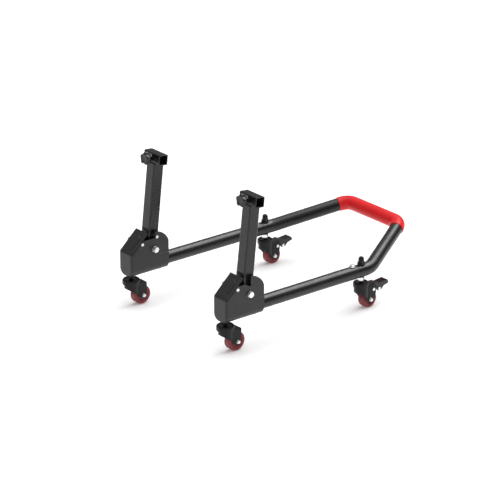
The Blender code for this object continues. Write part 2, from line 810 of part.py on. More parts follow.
def fork_plan(radius, half, rear):
    """Plan view of the fork: round in front, straight sides."""
    turn = atan2(sqrt(radius**2 - half**2), half)
    return arc((0, 0), radius, pi - turn, 2 * pi + turn, 8) + [(half, rear), (-half, rear)]


def make_fork(name, x, y, trail, wheel_radius, braked):
    place = (x, y, 0)
    tall = FORK_TOP_Z
    body = prism(fork_plan(FORK_FRONT_RADIUS, FORK_HALF, FORK_REAR_Y), 0.010, tall)
    fork = add_object(name, body, caster_black(), place)
    wide = FORK_FRONT_RADIUS + 0.01
    side_view = cutter(prism(fork_shape(trail, wheel_radius, braked), -wide, wide, "X"), place)
    cut(fork, [side_view], "INTERSECT")
    inner = prism(
        fork_plan(FORK_FRONT_RADIUS - FORK_PLATE, FORK_HALF - FORK_PLATE, FORK_REAR_Y + 0.01),
        0.0, tall - FORK_PLATE,
    )
    pin = PEDAL_PIN_AT
    tools = [
        cutter(inner, place),
        hole(STEM_RADIUS, tall - 0.01, tall + 0.01, "Z", place),
        hole(AXLE_SHANK, -wide, wide, "X", (x, y + trail, wheel_radius)),
    ]
    if braked:
        half = FORK_HALF - FORK_PLATE
        front, rear = PEDAL_WINDOW
        corners = [(-half, front), (half, front), (half, rear), (-half, rear)]
        window = prism(corners, tall - 0.006, tall + 0.01)
        tools.append(cutter(window, place))
        tools.append(hole(SMALL_SHANK, -wide, wide, "X", (x, y + pin[0], pin[1])))
    cut(fork, tools)


def make_caster_head(name, x, y, radius, stem_top):
    """Bearing cap with its kingpin below and the long threaded stem above, in one turned piece."""
    low = HEAD_BOTTOM_Z
    top = HEAD_TOP_Z
    pin_end = FORK_TOP_Z - FORK_PLATE - 0.0022
    profile = [
        (0, pin_end), (0.0075, pin_end), (0.0075, FORK_TOP_Z - FORK_PLATE - GAP),
        (STEM_RADIUS, FORK_TOP_Z - FORK_PLATE - GAP), (STEM_RADIUS, low),
        (radius, low), (radius, top - 0.0040), (radius - 0.0030, top),
        (radius - 0.0065, top), (radius - 0.0080, top - 0.0022),
        (STEM_RADIUS, top - 0.0022), (STEM_RADIUS, stem_top), (0, stem_top),
    ]
    bm = turned(profile, HEAD_SIDES, turn=pi / HEAD_SIDES)
    add_object(name, bm, caster_black(), (x, y, 0))


def make_wheel(name, place):
    """Tread and hub as one moulded wheel, with its origin on the axle. It stands on the floor."""
    tread = place[2]
    rim = tread - RIM_DEPTH
    bore = AXLE_SHANK + HOLE_CLEARANCE
    half_profile = [
        (bore, HUB_HALF), (HUB_RADIUS, HUB_HALF), (HUB_RADIUS, WHEEL_HALF - 0.0022),
        (rim, WHEEL_HALF - 0.0022), (rim + 0.0012, WHEEL_HALF),
        (tread - 0.0022, WHEEL_HALF), (tread, WHEEL_HALF - 0.0030),
    ]
    profile = half_profile + [(r, -h) for r, h in reversed(half_profile)]
    bm = turned(profile, WHEEL_SIDES, "X", pi / WHEEL_SIDES, closed=True)
    add_object(name, bm, red_tread(), place)


def make_axle(name, place):
    outer = FORK_HALF + GAP
    sections = [
        (AXLE_FLATS, -outer - 0.0050, -outer, "hex"),
        (AXLE_SHANK, -outer, outer, "round"),
        (AXLE_FLATS, outer, outer + 0.0045, "hex"),
    ]
    add_object(name, hex_bolt(sections, "X"), zinc(), place)


def pedal_outline(inset):
    """Side view of the brake pedal about its pin. The inset outline is its hollow."""
    heel = -0.0072 + inset
    top = 0.0150 - inset
    if inset:
        tip = 0.0570 - inset
        corners = [(heel, -0.02, 0), (heel, 0.0080, 0.002), (0.0090, top, 0.004), (0.0165, top, 0.004)]
        corners += [(0.0255, 0.0105 - inset, 0.004), (tip, 0.0128 - inset, 0), (tip, -0.02, 0)]
        return fillet(corners)
    corners = [
        (heel, -0.0026, 0.002), (heel, 0.0100, 0.003), (0.0080, top, 0.005), (0.0175, top, 0.005),
        (0.0255, 0.0105, 0.005), (0.0565, 0.0135, 0.001), (0.0600, 0.0040, 0.002),
        (0.0420, -0.0010, 0.004), (0.0340, -0.0100, 0.006), (0.0200, -0.0105, 0.006),
        (0.0120, -0.0026, 0.004),
    ]
    return fillet(corners)


def make_pedal(label, x, y):
    pin = (x, y + PEDAL_PIN_AT[0], PEDAL_PIN_AT[1])
    shape = prism(pedal_outline(0.0), -PEDAL_HALF, PEDAL_HALF, "X")
    pedal = add_object("brake_pedal_" + label, shape, knob_black(), pin)
    half = PEDAL_HALF - PEDAL_PLATE
    tools = [
        cutter(prism(pedal_outline(PEDAL_PLATE), -half, half, "X"), pin),
        hole(SMALL_SHANK, -0.02, 0.02, "X", pin),
    ]
    cut(pedal, tools)
    outer = FORK_HALF + GAP
    sections = [
        (SMALL_FLATS, -outer - 0.0035, -outer, "hex"),
        (SMALL_SHANK, -outer, outer, "round"),
        (SMALL_FLATS, outer, outer + 0.0035, "hex"),
    ]
    add_object("pedal_pin_" + label, hex_bolt(sections, "X"), zinc(), pin)


def make_stem_nut(name, x, y, low, high, coat):
    add_object(name, hollow_nut(STEM_FLATS, STEM_RADIUS, low, high, "Z"), coat, (x, y, 0))


def make_dome_nut(name, x):
    """A flanged dome nut, hollow from below, over the rear stem."""
    low = TUBE_Z + TUBE_RADIUS + GAP
    bore = STEM_RADIUS + HOLE_CLEARANCE
    straight = DOME_TOP_Z - DOME_RADIUS
    dome = arc((0, straight), DOME_RADIUS, 0, pi / 2, 4)[:-1]
    profile = [(0, straight), (bore, straight - 0.002), (bore, low), (DOME_BASE_RADIUS, low)]
    profile += [(DOME_BASE_RADIUS, low + 0.0050), (DOME_RADIUS, low + 0.0080)]
    profile += dome + [(0, DOME_TOP_Z)]
    add_object(name, turned(profile, 16), caster_black(), (x, REAR_STEM_Y, 0))


def make_caster(tag, x, y, head_radius, trail, wheel_radius, braked):
    tube_top = TUBE_Z + TUBE_RADIUS
    stem_top = tube_top + (0.0125 if braked else 0.0115)
    make_caster_head("caster_head_" + tag, x, y, head_radius, stem_top)
    make_fork("fork_" + tag, x, y, trail, wheel_radius, braked)
    axle = (x, y + trail, wheel_radius)
    make_wheel("wheel_" + tag, axle)
    make_axle("axle_bolt_" + tag, axle)


def make_casters():
    """The four casters, each held by a seat nut below and a stem nut or dome nut above."""
    tube_top = TUBE_Z + TUBE_RADIUS + GAP
    tube_bottom = TUBE_Z - TUBE_RADIUS - GAP
    trough = PIVOT_Z + TROUGH_Z - GAP
    front_sizes = (FRONT_STEM_Y, FRONT_HEAD_RADIUS, FRONT_TRAIL, FRONT_WHEEL_RADIUS)
    rear_sizes = (REAR_STEM_Y, REAR_HEAD_RADIUS, REAR_TRAIL, REAR_WHEEL_RADIUS)
    for label, side in (("left", -1), ("right", 1)):
        x = side * ARM_X
        make_caster("front_" + label, x, *front_sizes, False)
        make_caster("rear_" + label, x, *rear_sizes, True)
        seat = trough - FRONT_SEAT_NUT
        make_stem_nut("seat_nut_front_" + label, x, FRONT_STEM_Y, seat, trough, caster_black())
        stem_nut = tube_top + STEM_NUT_HEIGHT
        make_stem_nut("stem_nut_" + label, x, FRONT_STEM_Y, tube_top, stem_nut, zinc())
        seat = tube_bottom - REAR_SEAT_NUT
        make_stem_nut("seat_nut_rear_" + label, x, REAR_STEM_Y, seat, tube_bottom, zinc())
        make_pedal(label, x, REAR_STEM_Y)
        make_dome_nut("dome_nut_" + label, x)


def clear_scene():
    for obj in list(bpy.data.objects):
        bpy.data.objects.remove(obj, do_unlink=True)


def build():
    clear_scene()
    make_handle_tube()
    make_grip()
    for label, side in (("left", -1), ("right", 1)):
        x = side * ARM_X
        make_arm("arm_tube_" + label, x)
        make_joint_sleeve("joint_sleeve_" + label, x)
        make_joint_bolt(label, x)
        make_housing("housing_" + label, side)
        make_housing_fasteners(label, side)
        make_post(label, side)
        make_clamp(label, side)
    make_casters()


build()
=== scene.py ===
"""Looks of a rear paddock stand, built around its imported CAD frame.

Metres, +Z up, in the CAD's own frame: X across the stand, -Y the lifting posts, +Y the handle.
Each visible CAD node gets a finer piece that rides on the same body; hidden nodes stay as they are
and take the same procedural materials.
"""

import json
from math import atan2, cos, pi, radians, sin, sqrt, tan

import bmesh
import bpy
from mathutils import Matrix, Vector


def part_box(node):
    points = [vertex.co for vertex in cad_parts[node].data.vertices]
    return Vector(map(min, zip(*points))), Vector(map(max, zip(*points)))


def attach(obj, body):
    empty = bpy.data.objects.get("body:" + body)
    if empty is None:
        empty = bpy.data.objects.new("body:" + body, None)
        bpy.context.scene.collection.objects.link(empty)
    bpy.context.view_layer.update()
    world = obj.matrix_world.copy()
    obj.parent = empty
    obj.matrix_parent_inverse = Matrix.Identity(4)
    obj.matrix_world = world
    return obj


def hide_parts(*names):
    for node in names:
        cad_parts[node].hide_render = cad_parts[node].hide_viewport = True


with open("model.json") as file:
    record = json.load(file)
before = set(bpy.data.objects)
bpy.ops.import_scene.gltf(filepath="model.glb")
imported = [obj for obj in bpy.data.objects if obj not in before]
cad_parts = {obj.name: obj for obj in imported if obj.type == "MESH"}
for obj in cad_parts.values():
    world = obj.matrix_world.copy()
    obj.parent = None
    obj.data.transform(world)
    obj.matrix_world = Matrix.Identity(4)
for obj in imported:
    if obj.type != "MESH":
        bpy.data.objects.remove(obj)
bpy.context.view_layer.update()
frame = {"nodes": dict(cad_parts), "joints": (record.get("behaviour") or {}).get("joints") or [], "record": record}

# ---------------------------------------------------------------- what the frame says

RECORD = frame["record"]
JOINTS = {joint["name"]: joint for joint in frame["joints"]}
SLOT_OF = {entry["node"]: entry["material_slot"] for entry in RECORD["subparts"]}
BODY_OF = {}
for body_name, members in RECORD["behaviour"]["bodies"].items():
    for member in members:
        BODY_OF[member] = body_name
SIDES = (("left", -1), ("right", 1))


def joint_at(name):
    return Vector(JOINTS[name]["pos_m"])


def size_of(node):
    low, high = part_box(node)
    return high - low


def middle_of(node):
    low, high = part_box(node)
    return (low + high) / 2


PIVOT = joint_at("post_tilt_right")
ARM_X = PIVOT.x
TUBE_RADIUS = size_of("arm_tube_right").z / 2
TUBE_Z = middle_of("arm_tube_right").z
ARM_FRONT_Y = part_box("arm_tube_right")[0].y
SEAM_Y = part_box("arm_tube_right")[1].y
CLAMP_AXIS = Vector(JOINTS["clamp_slide_right"]["axis"])
POST_LEAN = atan2(-CLAMP_AXIS.z, CLAMP_AXIS.y)
CLAMP_AT = joint_at("knob_turn_right")
STEM_Y = {"front": joint_at("swivel_front_right").y, "rear": joint_at("swivel_rear_right").y}
WHEEL_AT = {"front": joint_at("roll_front_right"), "rear": joint_at("roll_rear_right")}
PEDAL_PIN = joint_at("brake_tip_right")

# Sizes that a box doesn't give, the same as in the CAD model.
GAP = 0.0003
TUBE_WALL = 0.002
GRIP_WALL = 0.0015
PLATE = 0.003
HOUSING_HALF = 0.029
FIRST_BEND_Y = 0.164
HANDLE_BEND_X = 0.1129
FIRST_BEND_RADIUS = 0.080
HANDLE_BEND_RADIUS = 0.042
GRIP_PAST_BEND = 0.030
TROUGH_RADIUS = 0.022
FOLD_RADIUS = 0.006
NOSE_Y = -0.0822
NOSE_TOP_Z = 0.0006
SLOPE_END = (-0.0240, 0.0530)
TONGUE_DROP = 0.0015
LOBE_RADIUS = 0.0515
LOBE_FRONT_Y = -0.0010
HOUSING_REAR_Y = 0.0490
TROUGH_Z = -0.0709
OUTER_NOTCH = ((-0.0165, 0.0326, 0.004), (0.0030, 0.0205, 0.003))
INNER_NOTCH = ((0.0010, 0.0326, 0.003),)
TIE_BOLT_AT = (-0.0446, 0.0246)
LOCK_BOLT_AT = (0.0060, 0.0364)
TUBE_BOLT_Y = 0.0357
JOINT_BOLT_Y = 0.0955
EMBOSS_SIZE = (0.032, 0.054)
SWAGE_FRONT_Y = -0.003
SWAGE_Z = -0.0178
SWAGE_HEIGHT = 0.0018
SWAGE_LIP = 0.0018
POST_SIDE = 0.035
POST_WALL = 0.0025
POST_FOOT = -0.022
POST_TOP = 0.2464
RECEIVER_SIDE = 0.030
RECEIVER_WALL = 0.0025
RECEIVER_HALF = 0.035
KNOB_OFF_FACE = 0.0128
KNOB_RADIUS = 0.0190
KNOB_LOBES = 5
FORK_HALF = 0.016
FORK_PLATE = 0.0025
FORK_TOP_Z = 0.0665
FORK_REAR_Y = 0.043
FORK_FRONT_RADIUS = 0.020
FORK_PAST_AXLE = 0.012
HEAD_BOTTOM_Z = 0.0668
HEAD_TOP_Z = 0.0815
STEM_RADIUS = 0.005
WHEEL_HALF = 0.0122
HUB_HALF = 0.0129
PEDAL_HALF = 0.0132
PEDAL_PLATE = 0.0022

# Bolts and nuts. A flange is its radius and its height.
PIVOT_BOLT = dict(length=0.010, shank=0.005, half_flats=0.0080, head=0.0068, flange=(0.0094, 0.0018))
PIVOT_NUT = dict(bore=0.0050, half_flats=0.0080, height=0.0086, flange=0.0091)
TIE_BOLT = dict(length=0.010, shank=0.003, half_flats=0.0042, head=0.0038)
TIE_NUT = dict(length=0.010, shank=0.003, half_flats=0.0042, head=0.0036)
LOCK_BOLT = dict(length=HOUSING_HALF - POST_SIDE / 2, shank=0.003, half_flats=0.0042, head=0.0038)
TUBE_BOLT = dict(length=0.012, shank=0.004, half_flats=0.0065, head=0.0055, flange=(0.0080, 0.0013))
JOINT_BOLT = dict(length=0.012, shank=0.004, half_flats=0.0065, head=0.0066, flange=(0.0085, 0.0018))
AXLE_BOLT = dict(length=0.016, shank=0.004, half_flats=0.0045, head=0.0046, flange=(0.0056, 0.0010))
AXLE_NUT = dict(length=0.016, shank=0.004, half_flats=0.0045, head=0.0042, flange=(0.0056, 0.0010))
PEDAL_BOLT = dict(length=0.015, shank=0.003, half_flats=0.0042, head=0.0034)
PEDAL_RIVET = dict(length=0.004, shank=0.003, half_flats=0.0042, head=0.0026)
CLAMP_NUT = dict(bore=0.0042, half_flats=0.0085, height=0.0065)
SEAT_NUT_FLATS = 0.0085
DOME_RADIUS = 0.0080
DOME_FLANGE = 0.0115
DOME_FLATS = 0.0094
THREAD_END = 0.0107

# Values of the detailed pieces.
FORK_BELOW_AXLE = 0.0090
FORK_FOLD = 0.0022
BRAKE_WINDOW_Y = (0.024, 0.060)
PIN_RADIUS = 0.0075
PIN_HEIGHT = 0.0022
WEB_HALF = 0.0086
RIVET_FROM_PIN = (0.0243, -0.0046)
PEDAL_RIBS = 5
FIRST_RIB = 0.0335
RIB_SPACING = 0.0048
BOLT_EDGE = 0.00015
PRESSED_EDGE = 0.0005
STOCK_EDGE = 0.0004
TUBE_LIP = 0.0006
GRIP_LIP = 0.0013
CUTTER_MARGIN = 0.01
MERGE_DISTANCE = 0.000004
SAME_LEVEL = 0.000001

# The part of its range that noise mostly stays in.
NOISE_LOW = 0.3
NOISE_HIGH = 0.7

# The camera stands where the stand is seen from its front right, a little from above.
CAMERA_AZIMUTH = radians(50.87)
CAMERA_ELEVATION = radians(21.80)
CAMERA_DISTANCE = 8.253
CAMERA_LENS = 211.1
CAMERA_TARGET = (-0.0273, -0.0771, 0.1540)
LIGHT_TARGET = (0, 0, 0.15)

# Each light's name, the direction it shines from, its distance, width, height and radiance.
SOFTBOXES = (
    ("top_box", (-0.05, 0.10, 0.99), 12.0, 13.0, 13.0, 1.9),
    ("back_strip", (-0.02, 0.62, 0.78), 12.5, 11.0, 3.2, 6.5),
    ("front_left_box", (-0.55, -0.75, 0.55), 13.0, 6.0, 5.0, 0.2),
)


# ---------------------------------------------------------------- materials

def nodes_of(name):
    """A new material, its node tree and its Principled shader."""
    made = bpy.data.materials.new(name)
    made.use_nodes = True
    tree = made.node_tree
    return made, tree, tree.nodes["Principled BSDF"]


def noise(tree, scale, detail=2.0):
    """Noise in the object's own coordinates."""
    where = tree.nodes.new("ShaderNodeTexCoord")
    texture = tree.nodes.new("ShaderNodeTexNoise")
    texture.inputs["Scale"].default_value = scale
    texture.inputs["Detail"].default_value = detail
    texture.inputs["Roughness"].default_value = 0.5
    tree.links.new(where.outputs["Object"], texture.inputs["Vector"])
    return texture.outputs["Fac"]


def between(tree, factor, low, high):
    """A factor, as noise gives it, mapped to a range."""
    node = tree.nodes.new("ShaderNodeMapRange")
    node.inputs["From Min"].default_value = NOISE_LOW
    node.inputs["From Max"].default_value = NOISE_HIGH
    node.inputs["To Min"].default_value = low
    node.inputs["To Max"].default_value = high
    tree.links.new(factor, node.inputs["Value"])
    return node.outputs["Result"]


def two_colours(tree, factor, first, second):
    """A colour that runs between two with a factor, as noise gives it."""
    ramp = tree.nodes.new("ShaderNodeValToRGB")
    ramp.color_ramp.elements[0].position = NOISE_LOW
    ramp.color_ramp.elements[1].position = NOISE_HIGH
    ramp.color_ramp.elements[0].color = (*first, 1.0)
    ramp.color_ramp.elements[1].color = (*second, 1.0)
    tree.links.new(factor, ramp.inputs["Fac"])
    return ramp.outputs["Color"]


def add_bump(tree, shader, height, distance, below=None):
    """Bump on a shader, on top of another bump if given."""
    node = tree.nodes.new("ShaderNodeBump")
    node.inputs["Strength"].default_value = 1.0
    node.inputs["Distance"].default_value = distance
    tree.links.new(height, node.inputs["Height"])
    if below:
        tree.links.new(below, node.inputs["Normal"])
    tree.links.new(node.outputs["Normal"], shader.inputs["Normal"])
    return node.outputs["Normal"]


def times(colour, factor):
    return tuple(value * factor for value in colour)


def powder_coat(name, colour, roughness, peel, specular):
    """Baked powder coat: an orange-peel skin with a slight change of shade and gloss."""
    made, tree, shader = nodes_of(name)
    shade = noise(tree, 14.0, 3.0)
    tree.links.new(two_colours(tree, shade, times(colour, 0.88), times(colour, 1.10)),
                   shader.inputs["Base Color"])
    gloss = noise(tree, 45.0, 3.0)
    tree.links.new(between(tree, gloss, roughness - 0.03, roughness + 0.05), shader.inputs["Roughness"])
    shader.inputs["Specular IOR Level"].default_value = specular
    first = add_bump(tree, shader, noise(tree, 520.0, 2.0), peel)
    add_bump(tree, shader, noise(tree, 1800.0, 1.0), peel * 0.3, below=first)
    return made


def zinc_plate(name):
    """Bright zinc: fine tooling marks and a faint yellow and blue cast."""
    made, tree, shader = nodes_of(name)
    shader.inputs["Metallic"].default_value = 1.0
    cast = noise(tree, 260.0, 2.0)
    tree.links.new(two_colours(tree, cast, (0.80, 0.79, 0.74), (0.84, 0.86, 0.88)),
                   shader.inputs["Base Color"])
    tree.links.new(between(tree, noise(tree, 900.0, 3.0), 0.22, 0.36), shader.inputs["Roughness"])
    add_bump(tree, shader, noise(tree, 2200.0, 2.0), 0.00002)
    return made


def grip_rubber(name):
    """Smooth red sleeve with a soft sheen and a very fine moulded skin."""
    made, tree, shader = nodes_of(name)
    shade = noise(tree, 22.0, 3.0)
    tree.links.new(two_colours(tree, shade, (0.66, 0.005, 0.008), (0.73, 0.008, 0.011)),
                   shader.inputs["Base Color"])
    tree.links.new(between(tree, noise(tree, 60.0, 3.0), 0.34, 0.42), shader.inputs["Roughness"])
    shader.inputs["Specular IOR Level"].default_value = 0.34
    first = add_bump(tree, shader, noise(tree, 700.0, 2.0), 0.00004)
    add_bump(tree, shader, noise(tree, 2600.0, 2.0), 0.00002, below=first)
    return made


def moulded_black(name, colour, roughness):
    """Black moulded plastic with a spark-eroded grain."""
    made, tree, shader = nodes_of(name)
    shade = noise(tree, 60.0, 2.0)
    tree.links.new(two_colours(tree, shade, times(colour, 0.85), times(colour, 1.2)),
                   shader.inputs["Base Color"])
    tree.links.new(between(tree, noise(tree, 500.0, 2.0), roughness - 0.05, roughness + 0.07),
                   shader.inputs["Roughness"])
    add_bump(tree, shader, noise(tree, 2400.0, 3.0), 0.00005)
    return made


def wheel_red(name):
    """Dull red polyurethane, a little dusty, that lets some light in."""
    made, tree, shader = nodes_of(name)
    shade = noise(tree, 90.0, 4.0)
    tree.links.new(two_colours(tree, shade, (0.20, 0.018, 0.021), (0.25, 0.027, 0.030)),
                   shader.inputs["Base Color"])
    tree.links.new(between(tree, noise(tree, 240.0, 3.0), 0.40, 0.56), shader.inputs["Roughness"])
    shader.inputs["Subsurface Weight"].default_value = 0.05
    shader.inputs["Subsurface Radius"].default_value = (0.004, 0.001, 0.001)
    add_bump(tree, shader, noise(tree, 1500.0, 3.0), 0.00004)
    return made


MATERIALS = {
    "tube_coat": powder_coat("dark_grey_gloss_coat", (0.0060, 0.0060, 0.0064), 0.27, 0.00005, 0.44),
    "housing_coat": powder_coat("dark_grey_satin_coat", (0.0095, 0.0095, 0.0098), 0.40, 0.00007, 0.46),
    "grip_red": grip_rubber("red_grip_rubber"),
    "bright_zinc": zinc_plate("bright_zinc"),
    "caster_black": powder_coat("black_caster_coat", (0.0036, 0.0036, 0.0038), 0.32, 0.00005, 0.26),
    "black_plastic": moulded_black("black_moulded_plastic", (0.0048, 0.0048, 0.0051), 0.34),
    "wheel_red": wheel_red("dull_red_polyurethane"),
}


# ---------------------------------------------------------------- pieces

def face_outwards(bm):
    bmesh.ops.remove_doubles(bm, verts=bm.verts, dist=MERGE_DISTANCE)
    bmesh.ops.recalc_face_normals(bm, faces=bm.faces)
    if bm.calc_volume(signed=True) < 0:
        bmesh.ops.reverse_faces(bm, faces=bm.faces)


def plain_object(name, bm, place=None):
    face_outwards(bm)
    mesh = bpy.data.meshes.new(name)
    bm.to_mesh(mesh)
    bm.free()
    obj = bpy.data.objects.new(name, mesh)
    bpy.context.scene.collection.objects.link(obj)
    if place:
        obj.matrix_world = place
    return obj


def soften(obj, width, angle=40, segments=2):
    """Round the edges that turn more than an angle, and keep flat faces flat in shading."""
    if width:
        bevel = obj.modifiers.new("soft_edges", "BEVEL")
        bevel.width = width
        bevel.segments = segments
        bevel.limit_method = "ANGLE"
        bevel.angle_limit = radians(angle)
        bevel.harden_normals = False
    even = obj.modifiers.new("even_shading", "WEIGHTED_NORMAL")
    even.keep_sharp = True
    even.weight = 80


def show(obj, like, body=None, sharp=35, edge=0.0, angle=40, segments=2):
    """Finish a piece: its slot's material, shading, soft edges, and the body it rides on."""
    slot = SLOT_OF[like]
    obj.data.materials.clear()
    obj.data.materials.append(MATERIALS[slot])
    obj.data.shade_smooth()
    obj.data.set_sharp_from_angle(angle=radians(sharp))
    soften(obj, edge, angle, segments)
    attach(obj, body or BODY_OF[like])
    return obj


def stand_for(node, bm, place=None, **finish):
    """A finer piece in the place of a CAD node."""
    obj = show(plain_object(node + "_look", bm, place), node, **finish)
    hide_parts(node)
    return obj


def trim(name, like, bm, place=None, **finish):
    """An added detail that rides with a CAD node and shares its finish."""
    return show(plain_object(name, bm, place), like, **finish)


def cut(obj, tools, operation="DIFFERENCE"):
    """Apply exact Booleans to an object and remove the tools."""
    for tool in tools:
        modifier = obj.modifiers.new("cut", "BOOLEAN")
        modifier.operation = operation
        modifier.solver = "EXACT"
        modifier.object = tool
    bpy.context.view_layer.update()
    graph = bpy.context.evaluated_depsgraph_get()
    mesh = bpy.data.meshes.new_from_object(obj.evaluated_get(graph))
    obj.modifiers.clear()
    plain = obj.data
    obj.data = mesh
    bpy.data.meshes.remove(plain)
    for tool in tools:
        shape = tool.data
        bpy.data.objects.remove(tool)
        bpy.data.meshes.remove(shape)


def tool(bm, place=None):
    return plain_object("tool", bm, place)


def at(point, lean=0.0):
    return Matrix.Translation(Vector(point)) @ Matrix.Rotation(lean, 4, "X")


def aimed(point, direction):
    """A place whose local Z points along a direction."""
    turn = Vector((0, 0, 1)).rotation_difference(Vector(direction)).to_matrix().to_4x4()
    return Matrix.Translation(Vector(point)) @ turn


# ---------------------------------------------------------------- mesh helpers

def arc(centre, radius, start, end, steps):
    points = []
    for i in range(steps + 1):
        angle = start + (end - start) * i / steps
        points.append((centre[0] + radius * cos(angle), centre[1] + radius * sin(angle)))
    return points


def fillet(corners, steps=6):
    """Round an outline given as (a, b, radius) corners."""
    points = []
    for i, (a, b, radius) in enumerate(corners):
        if radius == 0:
            points.append((a, b))
            continue
        here = Vector((a, b))
        back = (Vector(corners[i - 1][:2]) - here).normalized()
        ahead = (Vector(corners[(i + 1) % len(corners)][:2]) - here).normalized()
        half = back.angle(ahead) / 2
        centre = here + (back + ahead).normalized() * radius / sin(half)
        first = here + back * radius / tan(half) - centre
        last = here + ahead * radius / tan(half) - centre
        start = atan2(first.y, first.x)
        turn = (atan2(last.y, last.x) - start + pi) % (2 * pi) - pi
        points += arc(centre, radius, start, start + turn, steps)
    return points


def on_axis(a, b, level, axis):
    """Outline (a, b) is (Y, Z) for X, (X, Z) for Y and (X, Y) for Z."""
    if axis == "X":
        return (level, a, b)
    if axis == "Y":
        return (a, level, b)
    return (a, b, level)


def bridge(bm, first, second):
    count = len(first)
    for i in range(count):
        j = (i + 1) % count
        bm.faces.new((first[i], first[j], second[j], second[i]))


def prism(outline, low, high, axis="Z"):
    bm = bmesh.new()
    loops = [[bm.verts.new(on_axis(a, b, level, axis)) for a, b in outline] for level in (low, high)]
    bm.faces.new(loops[0])
    bm.faces.new(loops[1])
    bridge(bm, loops[0], loops[1])
    return bm


def tube_prism(outer, inner, low, high, axis="Z"):
    """Extrude a ring between two outlines with the same number of points."""
    bm = bmesh.new()
    rings = []
    for level in (low, high):
        rings.append([bm.verts.new(on_axis(a, b, level, axis)) for a, b in outer])
        rings.append([bm.verts.new(on_axis(a, b, level, axis)) for a, b in inner])
    bridge(bm, rings[0], rings[2])
    bridge(bm, rings[1], rings[3])
    bridge(bm, rings[0], rings[1])
    bridge(bm, rings[2], rings[3])
    return bm


def stack(rings, samples=48, closed=False):
    """A solid about Z from rings. A ring is (radius, height), or a function of the angle."""
    bm = bmesh.new()
    loops = []
    for ring in rings:
        if not callable(ring) and ring[0] == 0:
            loops.append([bm.verts.new((0, 0, ring[1]))])
            continue
        loop = []
        for i in range(samples):
            angle = 2 * pi * i / samples
            radius, height = ring(angle) if callable(ring) else ring
            loop.append(bm.verts.new((radius * cos(angle), radius * sin(angle), height)))
        loops.append(loop)
    pairs = list(zip(loops, loops[1:]))
    if closed:
        pairs.append((loops[-1], loops[0]))
    for first, second in pairs:
        join_rings(bm, first, second)
    return bm


def join_rings(bm, first, second):
    if len(first) == len(second):
        bridge(bm, first, second)
        return
    point, ring = (first[0], second) if len(first) == 1 else (second[0], first)
    for i in range(len(ring)):
        bm.faces.new((point, ring[i], ring[(i + 1) % len(ring)]))


def hexagon(half_flats, height, chamfer=0):
    """A hexagon ring. chamfer +1 lowers its corners as a turned chamfer does, -1 raises them."""
    def ring(angle):
        radius = half_flats / cos((angle + pi / 6) % (pi / 3) - pi / 6)
        beyond = max(0.0, radius - half_flats * 0.95)
        return radius, height - chamfer * beyond * tan(radians(30))
    return ring


def threads(radius, low, high, pitch=0.00125):
    """Rings of a fine thread between two heights, deeper by half a millimetre in its grooves."""
    rings = []
    count = max(1, int((high - low) / pitch))
    step = (high - low) / count
    for i in range(count):
        rings.append((radius - 0.0005, low + step * i))
        rings.append((radius, low + step * (i + 0.5)))
    rings.append((radius - 0.0006, high))
    return rings


def bolt(length, shank, half_flats, head, flange=None):
    """A bolt about Z: its shank below 0, and its head above."""
    rings = [(0, -length), (shank - 0.0006, -length), (shank, -length + 0.0006), (shank, 0)]
    base = 0.0
    if flange:
        rim, base = flange
        lip = base * 0.35
        rings += [(rim - lip, 0), (rim, lip), (rim, base - lip), (rim - lip, base)]
        rings += [(half_flats * 1.16, base)]
    rings += [hexagon(half_flats, base), hexagon(half_flats, head, 1), (half_flats * 0.95, head)]
    rings += [(half_flats * 0.70, head), (half_flats * 0.64, head - 0.0003), (0, head - 0.0003)]
    return stack(rings)


def open_nut(bore, half_flats, height, flange=0.0):
    """A nut about Z from 0 up, with a chamfered bore."""
    rings = [(bore, 0.0006), (bore + 0.0006, 0)]
    if flange:
        rings += [(flange - 0.0004, 0), (flange, 0.0005), (flange, 0.0013), (flange - 0.0005, 0.0018)]
        rings += [hexagon(half_flats, 0.0018)]
    else:
        rings += [(half_flats * 0.95, 0), hexagon(half_flats, 0, -1)]
    rings += [hexagon(half_flats, height, 1), (half_flats * 0.95, height)]
    rings += [(bore + 0.0007, height), (bore, height - 0.0007)]
    return stack(rings, closed=True)


# ---------------------------------------------------------------- tubes

def bent_path(corners, radii, steps):
    """Stations along straight runs joined by bends: a list of (point, direction)."""
    stations = [(corners[0], (corners[1] - corners[0]).normalized())]
    for i in range(1, len(corners) - 1):
        here = corners[i]
        before = (here - corners[i - 1]).normalized()
        after = (corners[i + 1] - here).normalized()
        turn = before.angle(after)
        reach = radii[i - 1] * tan(turn / 2)
        inward = (after - before).normalized()
        centre = here + inward * radii[i - 1] / cos(turn / 2)
        spin_axis = before.cross(after).normalized()
        start = here - before * reach - centre
        for k in range(steps + 1):
            spin = Matrix.Rotation(turn * k / steps, 3, spin_axis)
            stations.append((centre + spin @ start, spin @ before))
    stations.append((corners[-1], (corners[-1] - corners[-2]).normalized()))
    return stations


def round_ends(stations, outer, lip, steps=3):
    """Give each station a radius, rolling both ends over by a lip."""
    first, first_way = stations[0]
    last, last_way = stations[-1]
    turns = [pi / 2 * k / steps for k in range(steps + 1)]
    shaped = [(first + first_way * lip * (1 - cos(t)), first_way, outer - lip * (1 - sin(t))) for t in turns]
    shaped += [(point, way, outer) for point, way in stations[1:-1]]
    for t in reversed(turns):
        shaped.append((last - last_way * lip * (1 - cos(t)), last_way, outer - lip * (1 - sin(t))))
    return shaped


